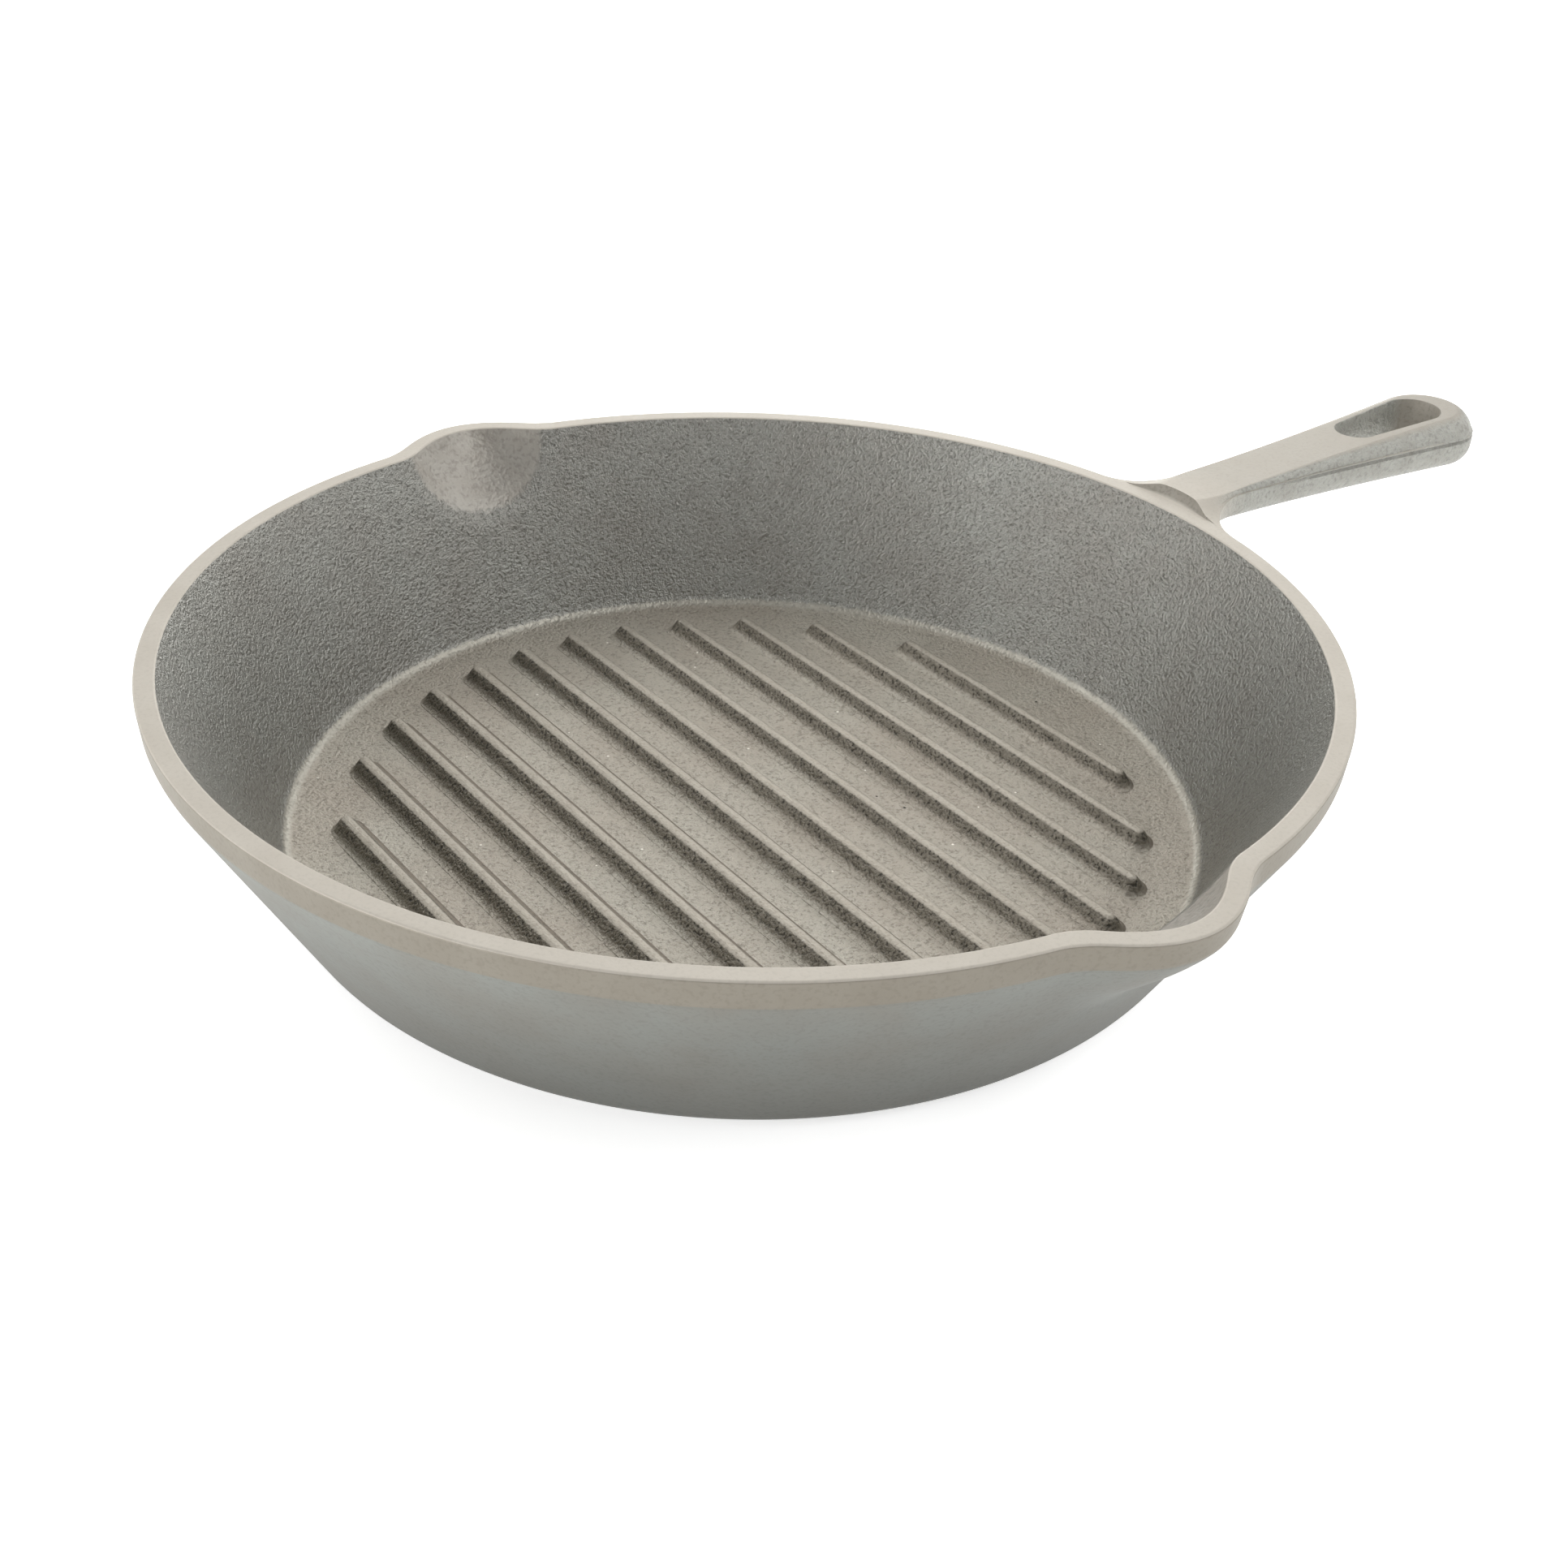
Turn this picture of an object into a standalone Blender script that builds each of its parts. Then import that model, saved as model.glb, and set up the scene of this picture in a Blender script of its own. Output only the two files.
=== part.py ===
"""Round cast iron grill pan with two pouring spouts and a hang handle, as one casting.

All sizes are in metres. The origin is at the centre of the underside, +Z is up and the
handle points along +X. Run with: blender --background --python part.py
"""

import math

import bmesh
import bpy
from mathutils import Vector

CASTING_NAME = "pan_casting"
PART_COLLECTION = "grill_pan"
CUTTER_COLLECTION = "cutters"
MERGE_DISTANCE = 0.00001
SMOOTH_SHADING_LIMIT_DEG = 30.0

# Bowl
PAN_HEIGHT = 0.054
RIM_RADIUS = 0.130
RIM_LAND_WIDTH = 0.0044
RIM_BAND_HEIGHT = 0.006
RIM_BAND_DRAFT = 0.0005
RIM_INNER_EDGE_ROUNDING = 0.0006
RIM_OUTER_EDGE_ROUNDING = 0.0006
RIM_BAND_FOOT_ROUNDING = 0.004
BASE_CORNER_RADIUS = 0.1032
BASE_EDGE_ROUNDING = 0.008
FLOOR_THICKNESS = 0.0072
FLOOR_RADIUS = 0.0942
FLOOR_MARGIN_WIDTH = 0.0094
FLOOR_MARGIN_RISE = 0.0011
WALL_FOOT_FILLET = 0.0045
COLUMN_COUNT = 132
COLUMN_CROWDING = 0.55

# Pouring spouts, one on each side, at right angles to the handle
SPOUT_REACH = 0.0087
SCOOP_HALF_WIDTH = 0.0193
SCOOP_DEPTH = 0.0173
BULGE_EXTRA_HALF_WIDTH = 0.0022
BULGE_EXTRA_DEPTH = 0.0075
SPOUT_SIDE_POWER = 1.1
SPOUT_SHOULDER_SOFTNESS = 0.003
SPOUT_ROW_SHARES = (1.18, 0.96, 0.74, 0.42)

# Grill ribs, parallel to the line through the spouts
RIB_COUNT = 12
RIB_OUTER_MARGIN = 0.0132
RIB_HALF_WIDTH = 0.0042
RIB_HEIGHT = 0.0035
RIB_SINK = 0.0015
RIB_CORNER_SHARE = 0.7
RIB_CORNER_STEPS = 2
RIB_LEVELS = ((0.0, 0.0), (0.19, 0.15), (0.69, 0.88), (0.82, 1.0))

# Handle
HANDLE_LENGTH = 0.1114
HANDLE_NECK_HALF_WIDTH = 0.0088
HANDLE_TIP_HALF_WIDTH = 0.0145
HANDLE_WIDENING_POWER = 1.52
HANDLE_ROOT_FILLET = 0.018
HANDLE_TOP_STEP = 0.00205
HANDLE_TOP_SLOPE = 0.048
HANDLE_PARTING_STEP = 0.0017
HANDLE_PARTING_DROP = 0.0020
HANDLE_ROOT_DEPTH = 0.0057
HANDLE_TIP_DEPTH = 0.0064
HANDLE_TOP_EDGE_RATIO = 1.1
HANDLE_TOP_EDGE_POWER = 1.25
HANDLE_TOP_FLARE = -0.1
HANDLE_LOWER_EDGE_WIDTH = 0.0042
HANDLE_LOWER_EDGE_HEIGHT = 0.0050
HANDLE_EMBED = 0.003
HANDLE_EDGE_STEPS = 4
HANDLE_ROOT_STATIONS = 6
HANDLE_BODY_STATIONS = 6
HANDLE_TIP_STATIONS = 7

# Cove between the rim and the raised top of the handle
COVE_GAP = 0.0016
COVE_RUN = 0.0030
COVE_HEIGHT = 0.0040
COVE_SINK = 0.0001
COVE_COLUMNS = 180

# Hang hole, a slot that is wider towards the tip, sized at its top opening
HOLE_TIP_WALL = 0.0104
HOLE_TIP_RADIUS = 0.0074
HOLE_ROOT_RADIUS = 0.0055
HOLE_CENTRE_DISTANCE = 0.0238
HOLE_DRAFT = 0.0006
HOLE_EDGE_FLARE = 0.0005
HOLE_EDGE_DEPTH = 0.0010
HOLE_OVERRUN = 0.003
HOLE_ARC_STEPS = 8

# Iron
IRON_COLOUR = (0.235, 0.225, 0.195, 1.0)
IRON_ROUGHNESS = 0.55
IRON_METALLIC = 0.6

# Worked out from the sizes above
RIM_INNER_RADIUS = RIM_RADIUS - RIM_LAND_WIDTH
BAND_FOOT_RADIUS = RIM_RADIUS - RIM_BAND_DRAFT
BAND_FOOT_HEIGHT = PAN_HEIGHT - RIM_BAND_HEIGHT
WALL_FOOT_RADIUS = FLOOR_RADIUS + FLOOR_MARGIN_WIDTH
WALL_FOOT_HEIGHT = FLOOR_THICKNESS + FLOOR_MARGIN_RISE
RIB_PITCH = (FLOOR_RADIUS - RIB_OUTER_MARGIN) * 2.0 / (RIB_COUNT - 1)
PARTING_HEIGHT = PAN_HEIGHT + HANDLE_PARTING_STEP
HANDLE_TIP_X = RIM_RADIUS + HANDLE_LENGTH
HANDLE_START_X = RIM_RADIUS - HANDLE_EMBED
FILLET_CENTRE_Y = HANDLE_NECK_HALF_WIDTH + HANDLE_ROOT_FILLET
FILLET_CENTRE_DISTANCE = RIM_RADIUS + HANDLE_ROOT_FILLET
HANDLE_NECK_X = math.sqrt(FILLET_CENTRE_DISTANCE ** 2 - FILLET_CENTRE_Y ** 2)
FILLET_RIM_X = HANDLE_NECK_X * RIM_RADIUS / FILLET_CENTRE_DISTANCE
FILLET_SWEEP = math.asin((HANDLE_NECK_X - FILLET_RIM_X) / HANDLE_ROOT_FILLET)
HANDLE_TIP_CENTRE_X = HANDLE_TIP_X - HANDLE_TIP_HALF_WIDTH
HOLE_TIP_CENTRE_X = HANDLE_TIP_X - HOLE_TIP_WALL - HOLE_TIP_RADIUS
HOLE_ROOT_CENTRE_X = HOLE_TIP_CENTRE_X - HOLE_CENTRE_DISTANCE


def clear_scene():
    """Remove every object that is in the scene."""
    for item in list(bpy.data.objects):
        bpy.data.objects.remove(item, do_unlink=True)


def new_collection(name):
    """Make a collection under the scene's own."""
    collection = bpy.data.collections.new(name)
    bpy.context.scene.collection.children.link(collection)
    return collection


def add_object(name, mesh, collection):
    """Put a mesh in a new object of a collection."""
    item = bpy.data.objects.new(name, mesh)
    collection.objects.link(item)
    return item


def mesh_from_bmesh(builder, name):
    """Turn a bmesh into a mesh whose faces point outwards."""
    bmesh.ops.recalc_face_normals(builder, faces=builder.faces)
    mesh = bpy.data.meshes.new(name)
    builder.to_mesh(mesh)
    builder.free()
    return mesh


def evaluated_mesh(item):
    """Give a mesh of an object with its modifiers applied."""
    depsgraph = bpy.context.evaluated_depsgraph_get()
    depsgraph.update()
    return bpy.data.meshes.new_from_object(item.evaluated_get(depsgraph))


def hide_cutter(item):
    """Show a cutter as a wire that is left out of renders."""
    item.display_type = "WIRE"
    item.hide_render = True


def add_boolean(item, operation, operand):
    """Add an exact Boolean modifier to an object."""
    modifier = item.modifiers.new(operand.name, "BOOLEAN")
    modifier.operation = operation
    modifier.solver = "EXACT"
    modifier.object = operand
    hide_cutter(operand)


def share_between(start, end, share):
    """Give the value that lies a share of the way from start to end."""
    return start + (end - start) * share


def clamp(value):
    """Keep a value between 0 and 1."""
    return min(max(value, 0.0), 1.0)


def smooth_share(value):
    """Ease a share in and out."""
    share = clamp(value)
    return share * share * (3.0 - 2.0 * share)


def inner_wall_radius(height):
    """Give the radius of the bowl's inner wall at a height."""
    share = (height - WALL_FOOT_HEIGHT) / (PAN_HEIGHT - WALL_FOOT_HEIGHT)
    return share_between(WALL_FOOT_RADIUS, RIM_INNER_RADIUS, share)


def outer_wall_radius(height):
    """Give the radius of the bowl's outer wall at a height."""
    if height >= BAND_FOOT_HEIGHT:
        share = (height - BAND_FOOT_HEIGHT) / RIM_BAND_HEIGHT
        return share_between(BAND_FOOT_RADIUS, RIM_RADIUS, share)
    return share_between(BASE_CORNER_RADIUS, BAND_FOOT_RADIUS, height / BAND_FOOT_HEIGHT)


def rounded_outline(corners):
    """Give a line through corners (x, y, rounding, steps), with an arc at each rounded one."""
    points = []
    for index, (x, y, rounding, steps) in enumerate(corners):
        here = Vector((x, y))
        if steps == 0:
            points.append(here)
            continue
        back = (Vector(corners[index - 1][:2]) - here).normalized()
        ahead = (Vector(corners[(index + 1) % len(corners)][:2]) - here).normalized()
        half_angle = back.angle(ahead) / 2.0
        centre = here + (back + ahead).normalized() * (rounding / math.sin(half_angle))
        tangent_length = rounding / math.tan(half_angle)
        start = here + back * tangent_length - centre
        end = here + ahead * tangent_length - centre
        sweep = start.angle(end)
        for step in range(steps + 1):
            angle = sweep * step / steps
            start_weight = math.sin(sweep - angle) / math.sin(sweep)
            end_weight = math.sin(angle) / math.sin(sweep)
            points.append(centre + start * start_weight + end * end_weight)
    return points


def bowl_outline():
    """Give the bowl's section from the floor's centre over the rim to the base's centre."""
    scoop_heights = [PAN_HEIGHT - SCOOP_DEPTH * share for share in SPOUT_ROW_SHARES]
    bulge_depth = SCOOP_DEPTH + BULGE_EXTRA_DEPTH
    bulge_heights = [PAN_HEIGHT - bulge_depth * share for share in reversed(SPOUT_ROW_SHARES)]
    corners = [
        (0.0, FLOOR_THICKNESS, 0.0, 0),
        (FLOOR_RADIUS, FLOOR_THICKNESS, 0.0, 0),
        (WALL_FOOT_RADIUS, WALL_FOOT_HEIGHT, WALL_FOOT_FILLET, 3),
    ]
    corners += [(inner_wall_radius(height), height, 0.0, 0) for height in scoop_heights]
    corners += [
        (RIM_INNER_RADIUS, PAN_HEIGHT, RIM_INNER_EDGE_ROUNDING, 1),
        (RIM_RADIUS, PAN_HEIGHT, RIM_OUTER_EDGE_ROUNDING, 2),
        (BAND_FOOT_RADIUS, BAND_FOOT_HEIGHT, RIM_BAND_FOOT_ROUNDING, 1),
    ]
    corners += [(outer_wall_radius(height), height, 0.0, 0) for height in bulge_heights]
    corners += [
        (BASE_CORNER_RADIUS, 0.0, BASE_EDGE_ROUNDING, 3),
        (0.0, 0.0, 0.0, 0),
    ]
    return rounded_outline(corners)


def crowd_columns(builder):
    """Draw the turned shell's columns towards the two spouts, which need more of them."""
    for vert in builder.verts:
        radius = math.hypot(vert.co.x, vert.co.y)
        angle = math.atan2(vert.co.y, vert.co.x)
        angle += COLUMN_CROWDING * math.sin(2.0 * angle) / 2.0
        vert.co.x = radius * math.cos(angle)
        vert.co.y = radius * math.sin(angle)


def soften_foot(value, softness):
    """Give a value where it is positive, with a rounded foot where it meets zero."""
    if value >= softness:
        return value
    return max(value + softness, 0.0) ** 2 / (4.0 * softness)


def spout_push(across, height, wall_share):
    """Give how far a spout pushes the wall out at a place across it and at a height."""
    half_width = SCOOP_HALF_WIDTH + BULGE_EXTRA_HALF_WIDTH * wall_share
    depth = SCOOP_DEPTH + BULGE_EXTRA_DEPTH * wall_share
    left = 1.0 - (across / half_width) ** 2 - ((PAN_HEIGHT - height) / depth) ** 2
    push = SPOUT_REACH * math.copysign(abs(left) ** SPOUT_SIDE_POWER, left)
    return soften_foot(push, SPOUT_SHOULDER_SOFTNESS)


def push_spouts(builder):
    """Push both spouts out of the turned shell along Y, inner and outer wall together."""
    for vert in builder.verts:
        radius = math.hypot(vert.co.x, vert.co.y)
        inner_radius = inner_wall_radius(vert.co.z)
        wall = outer_wall_radius(vert.co.z) - inner_radius
        wall_share = clamp((radius - inner_radius) / wall)
        push = spout_push(vert.co.x, vert.co.z, wall_share)
        vert.co.y += math.copysign(push, vert.co.y)


def make_bowl(collection):
    """Make the bowl as a turned shell with its two spouts."""
    points = bowl_outline()
    profile = bpy.data.meshes.new("bowl_profile")
    edges = [(index, index + 1) for index in range(len(points) - 1)]
    profile.from_pydata([(point.x, 0.0, point.y) for point in points], edges, [])
    guide = add_object("bowl_profile", profile, collection)
    screw = guide.modifiers.new("turn", "SCREW")
    screw.angle = math.tau
    screw.steps = COLUMN_COUNT
    screw.render_steps = COLUMN_COUNT
    screw.use_merge_vertices = True
    screw.merge_threshold = MERGE_DISTANCE
    shell = evaluated_mesh(guide)
    bpy.data.objects.remove(guide, do_unlink=True)
    builder = bmesh.new()
    builder.from_mesh(shell)
    bmesh.ops.remove_doubles(builder, verts=builder.verts, dist=MERGE_DISTANCE)
    crowd_columns(builder)
    push_spouts(builder)
    return add_object(CASTING_NAME, mesh_from_bmesh(builder, CASTING_NAME), collection)


def skin_rings(builder, rings):
    """Join rings of equal point counts with faces and give their vertex rows."""
    rows = [[builder.verts.new(point) for point in ring] for ring in rings]
    count = len(rows[0])
    for row, next_row in zip(rows, rows[1:]):
        for index in range(count):
            beside = (index + 1) % count
            builder.faces.new((row[index], row[beside], next_row[beside], next_row[index]))
    return rows


def rib_ring(across, inset, height):
    """Give a rib's outline, with its ends on a circle about the pan's axis, at a height."""
    half_width = RIB_HALF_WIDTH - inset
    end_radius = FLOOR_RADIUS - inset
    rounding = half_width * RIB_CORNER_SHARE
    corners = []
    for side, end in ((-1, -1), (1, -1), (1, 1), (-1, 1)):
        x = across + half_width * side
        y = math.sqrt(end_radius ** 2 - x ** 2) * end
        corners.append((x, y, rounding, RIB_CORNER_STEPS))
    return [Vector((point.x, point.y, height)) for point in rounded_outline(corners)]


def make_ribs(collection):
    """Make the grill ribs, tapered on all sides, with their feet sunk in the floor."""
    builder = bmesh.new()
    for index in range(RIB_COUNT):
        across = (index - (RIB_COUNT - 1) / 2.0) * RIB_PITCH
        rings = [rib_ring(across, 0.0, FLOOR_THICKNESS - RIB_SINK)]
        for inset_share, height_share in RIB_LEVELS:
            inset = RIB_HALF_WIDTH * inset_share
            rings.append(rib_ring(across, inset, FLOOR_THICKNESS + RIB_HEIGHT * height_share))
        rows = skin_rings(builder, rings)
        caps = [builder.faces.new(row) for row in (rows[0], rows[-1])]
        bmesh.ops.triangulate(builder, faces=caps)
    return add_object("ribs", mesh_from_bmesh(builder, "ribs"), collection)


def handle_top(x):
    """Give the height of the handle's sloped flat top."""
    return PAN_HEIGHT + HANDLE_TOP_STEP + HANDLE_TOP_SLOPE * (x - RIM_RADIUS)


def handle_bottom(x):
    """Give the height of the handle's underside."""
    share = clamp((x - HANDLE_NECK_X) / (HANDLE_TIP_CENTRE_X - HANDLE_NECK_X))
    return PAN_HEIGHT - share_between(HANDLE_ROOT_DEPTH, HANDLE_TIP_DEPTH, share)


def root_share(x):
    """Give 1 where the handle leaves the rim, easing to 0 at its neck."""
    return smooth_share((HANDLE_NECK_X - x) / (HANDLE_NECK_X - FILLET_RIM_X))


def handle_parting(x):
    """Give the height of the handle's widest line, which dips to the rim at the root."""
    return PARTING_HEIGHT - HANDLE_PARTING_DROP * root_share(x)


def top_edge_width(x):
    """Give how far the flat top stands in from the widest line."""
    return HANDLE_TOP_EDGE_RATIO * (handle_top(x) - PARTING_HEIGHT)


def handle_outline(inset_at, flare):
    """Give half of the handle's plan outline, from the root to the middle of the tip.

    The root's arc is tangent to the rim and to the handle's straight side.
    """
    points = []
    for step in range(HANDLE_ROOT_STATIONS):
        angle = FILLET_SWEEP * (1.0 - step / HANDLE_ROOT_STATIONS)
        x = HANDLE_NECK_X - HANDLE_ROOT_FILLET * math.sin(angle)
        widen = HANDLE_ROOT_FILLET * (1.0 - math.cos(angle))
        points.append((x, HANDLE_NECK_HALF_WIDTH - inset_at(x) + widen * flare))
    points.insert(0, (HANDLE_START_X, points[0][1] * HANDLE_START_X / FILLET_RIM_X))
    for step in range(HANDLE_BODY_STATIONS):
        share = step / HANDLE_BODY_STATIONS
        x = share_between(HANDLE_NECK_X, HANDLE_TIP_CENTRE_X, share)
        widening = share ** HANDLE_WIDENING_POWER
        half_width = share_between(HANDLE_NECK_HALF_WIDTH, HANDLE_TIP_HALF_WIDTH, widening)
        points.append((x, half_width - inset_at(x)))
    for step in range(HANDLE_TIP_STATIONS + 1):
        angle = math.pi / 2.0 * step / HANDLE_TIP_STATIONS
        radius = HANDLE_TIP_HALF_WIDTH - inset_at(HANDLE_TIP_CENTRE_X)
        x = HANDLE_TIP_CENTRE_X + radius * math.sin(angle)
        points.append((x, radius * math.cos(angle)))
    return points


def handle_ring(inset_at, flare, height_at):
    """Give one closed level of the handle, right side out to the tip and back."""
    right = [Vector((x, y, height_at(x))) for x, y in handle_outline(inset_at, flare)]
    left = [Vector((point.x, -point.y, point.z)) for point in reversed(right[:-1])]
    return right + left


def upper_ring(step):
    """Give a level of the upper half, from the widest line to the flat top.

    The edge is round along the body and eases into the rim as a soft slope at the root.
    """
    share = step / HANDLE_EDGE_STEPS
    angle = math.pi / 2.0 * share
    inset_share = 1.0 - abs(math.cos(angle)) ** HANDLE_TOP_EDGE_POWER
    round_share = math.sin(angle) ** HANDLE_TOP_EDGE_POWER
    slope_share = smooth_share(share)

    def height_at(x):
        height_share = share_between(round_share, slope_share, root_share(x))
        return share_between(handle_parting(x), handle_top(x), height_share)

    return handle_ring(
        lambda x: top_edge_width(x) * inset_share,
        share_between(1.0, HANDLE_TOP_FLARE, share),
        height_at,
    )


def lower_ring(step):
    """Give a level of the lower half's rounded edge, from its side to the underside."""
    angle = math.pi / 2.0 * step / HANDLE_EDGE_STEPS
    inset = HANDLE_LOWER_EDGE_WIDTH * (1.0 - math.cos(angle))
    rise = HANDLE_LOWER_EDGE_HEIGHT * (1.0 - math.sin(angle))
    return handle_ring(lambda x: inset, 1.0, lambda x: handle_bottom(x) + rise)


def close_level(builder, row):
    """Close a level of the handle with strips across it."""
    last = len(row) - 1
    for index in range(last // 2):
        corners = (row[index], row[index + 1], row[last - index - 1], row[last - index])
        builder.faces.new(dict.fromkeys(corners))


def make_handle(collection):
    """Make the handle level by level, coved at the rim and pierced by the hang hole."""
    builder = bmesh.new()
    rings = [lower_ring(step) for step in reversed(range(HANDLE_EDGE_STEPS + 1))]
    rings += [upper_ring(step) for step in range(HANDLE_EDGE_STEPS + 1)]
    rows = skin_rings(builder, rings)
    close_level(builder, rows[0])
    close_level(builder, rows[-1])
    handle = add_object("handle", mesh_from_bmesh(builder, "handle"), collection)
    add_boolean(handle, "DIFFERENCE", make_cove_cutter(collection))
    add_boolean(handle, "DIFFERENCE", make_hole_cutter(collection))
    return handle


def slot_ring(narrow, height_at):
    """Give the hang hole's outline, narrowed all round, at heights along the handle."""
    tip_radius = HOLE_TIP_RADIUS - narrow
    root_radius = HOLE_ROOT_RADIUS - narrow
    lean = math.acos((HOLE_ROOT_RADIUS - HOLE_TIP_RADIUS) / HOLE_CENTRE_DISTANCE)
    points = []
    for centre, radius, start, end in (
        (HOLE_TIP_CENTRE_X, tip_radius, lean - math.pi, math.pi - lean),
        (HOLE_ROOT_CENTRE_X, root_radius, math.pi - lean, math.pi + lean),
    ):
        for step in range(HOLE_ARC_STEPS + 1):
            angle = share_between(start, end, step / HOLE_ARC_STEPS)
            x = centre + radius * math.cos(angle)
            points.append(Vector((x, radius * math.sin(angle), height_at(x))))
    return points


def make_hole_cutter(collection):
    """Make the hang hole's cutter, drafted both ways from the parting plane."""
    builder = bmesh.new()
    waist = HOLE_DRAFT + HOLE_EDGE_FLARE
    rows = skin_rings(builder, [
        slot_ring(0.0, lambda x: handle_bottom(x) - HOLE_OVERRUN),
        slot_ring(0.0, handle_bottom),
        slot_ring(HOLE_EDGE_FLARE, lambda x: handle_bottom(x) + HOLE_EDGE_DEPTH),
        slot_ring(waist, lambda x: PARTING_HEIGHT),
        slot_ring(HOLE_EDGE_FLARE, lambda x: handle_top(x) - HOLE_EDGE_DEPTH),
        slot_ring(0.0, handle_top),
        slot_ring(0.0, lambda x: handle_top(x) + HOLE_OVERRUN),
    ])
    caps = [builder.faces.new(row) for row in (rows[0], rows[-1])]
    bmesh.ops.triangulate(builder, faces=caps)
    return add_object("hang_hole", mesh_from_bmesh(builder, "hang_hole"), collection)


def make_cove_cutter(collection):
    """Make the cone that keeps the handle's raised top clear of the rim."""
    builder = bmesh.new()
    radius = RIM_RADIUS + COVE_GAP
    middle = PAN_HEIGHT - COVE_SINK + COVE_HEIGHT / 2.0
    bmesh.ops.create_cone(
        builder,
        cap_ends=True,
        segments=COVE_COLUMNS,
        radius1=radius,
        radius2=radius + COVE_RUN,
        depth=COVE_HEIGHT,
    )
    bmesh.ops.translate(builder, verts=builder.verts, vec=(0.0, 0.0, middle))
    return add_object("rim_cove", mesh_from_bmesh(builder, "rim_cove"), collection)


def iron_material():
    """Make the shot blasted raw iron."""
    material = bpy.data.materials.new("shot_blasted_cast_iron")
    material.use_nodes = True
    shader = material.node_tree.nodes["Principled BSDF"]
    shader.inputs["Base Color"].default_value = IRON_COLOUR
    shader.inputs["Roughness"].default_value = IRON_ROUGHNESS
    shader.inputs["Metallic"].default_value = IRON_METALLIC
    material.diffuse_color = IRON_COLOUR
    return material


def main():
    """Build the casting."""
    clear_scene()
    part = new_collection(PART_COLLECTION)
    cutters = new_collection(CUTTER_COLLECTION)
    casting = make_bowl(part)
    add_boolean(casting, "UNION", make_ribs(cutters))
    add_boolean(casting, "UNION", make_handle(cutters))
    casting.data.materials.append(iron_material())
    casting.data.shade_smooth()
    casting.data.set_sharp_from_angle(angle=math.radians(SMOOTH_SHADING_LIMIT_DEG))


main()
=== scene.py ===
"""Looks of a raw cast iron grill pan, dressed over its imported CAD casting.

The pan is one shot blasted sand casting. It is shown as three pieces that overlap like
cast iron does, a turned bowl with its spouts, the grill ribs and the handle, and all of
them stand for the CAD node. Sizes are in metres, in the CAD's own frame, and the
classes give their angles in degrees.
"""

import logging
import math
from dataclasses import dataclass
from enum import Enum
from typing import Callable

import bmesh
import bpy
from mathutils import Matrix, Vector, noise


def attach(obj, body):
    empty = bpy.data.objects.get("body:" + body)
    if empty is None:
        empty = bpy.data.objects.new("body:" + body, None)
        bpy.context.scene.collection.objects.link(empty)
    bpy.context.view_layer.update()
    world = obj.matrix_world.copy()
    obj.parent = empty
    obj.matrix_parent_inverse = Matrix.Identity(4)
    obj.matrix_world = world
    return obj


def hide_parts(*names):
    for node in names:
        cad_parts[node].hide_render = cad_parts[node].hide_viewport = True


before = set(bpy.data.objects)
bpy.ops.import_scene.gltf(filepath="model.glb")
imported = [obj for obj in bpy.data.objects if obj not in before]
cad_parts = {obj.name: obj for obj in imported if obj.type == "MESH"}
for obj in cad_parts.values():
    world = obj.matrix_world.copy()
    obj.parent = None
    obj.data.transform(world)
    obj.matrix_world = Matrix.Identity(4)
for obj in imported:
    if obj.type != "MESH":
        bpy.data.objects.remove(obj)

LOG = logging.getLogger("grill_pan")
CASTING_NODE = "pan_casting"
CASTING_BODY = "root"
MM = 0.001
MERGE_DISTANCE = 0.000001
KEY_DIGITS = 7
SMOOTH_SHADING_LIMIT = math.radians(40.0)
WHITE = (1.0, 1.0, 1.0, 1.0)

Point2 = tuple[float, float]
HeightAt = Callable[[float], float]


def share_between(start: float, end: float, share: float) -> float:
    """Give the value that lies a share of the way from start to end."""
    return start + (end - start) * share


def clamp(value: float) -> float:
    """Keep a value between 0 and 1."""
    return min(max(value, 0.0), 1.0)


def smooth_share(value: float) -> float:
    """Ease a share in and out."""
    share = clamp(value)
    return share * share * (3.0 - 2.0 * share)


def linear_colour(hex_code: str) -> tuple[float, float, float, float]:
    """Turn an sRGB hex colour into a linear one.

    Args:
        hex_code: Six hex digits, such as "c8c3b8".

    Returns:
        Red, green, blue and an alpha of 1.
    """
    channels = []
    for start in (0, 2, 4):
        value = int(hex_code[start:start + 2], 16) / 255.0
        channels.append(value / 12.92 if value <= 0.04045 else ((value + 0.055) / 1.055) ** 2.4)
    return (*channels, 1.0)


def add_node(
    tree: bpy.types.NodeTree,
    kind: str,
    inputs: dict[int | str, object] | None = None,
    **settings: object,
) -> bpy.types.Node:
    """Add a node with its settings, values and links.

    Args:
        tree: The node tree that the node goes into.
        kind: The node's type name.
        inputs: A value, or an output socket to link, for each input by name or number.
        settings: The node's own properties.

    Returns:
        The new node.
    """
    node = tree.nodes.new(kind)
    for name, value in settings.items():
        setattr(node, name, value)
    for key, value in (inputs or {}).items():
        feed(tree, node, key, value)
    return node


def feed(
    tree: bpy.types.NodeTree, node: bpy.types.Node, key: int | str, value: object
) -> None:
    """Link an output to a node's input, or set the input to a plain value.

    Args:
        tree: The node tree.
        node: The node that is fed.
        key: The input's name or number.
        value: An output socket or a plain value.
    """
    if isinstance(value, bpy.types.NodeSocket):
        tree.links.new(value, node.inputs[key])
    else:
        node.inputs[key].default_value = value


def deselect_all() -> None:
    """Leave nothing selected in object mode."""
    bpy.ops.object.select_all(action="DESELECT")


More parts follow.
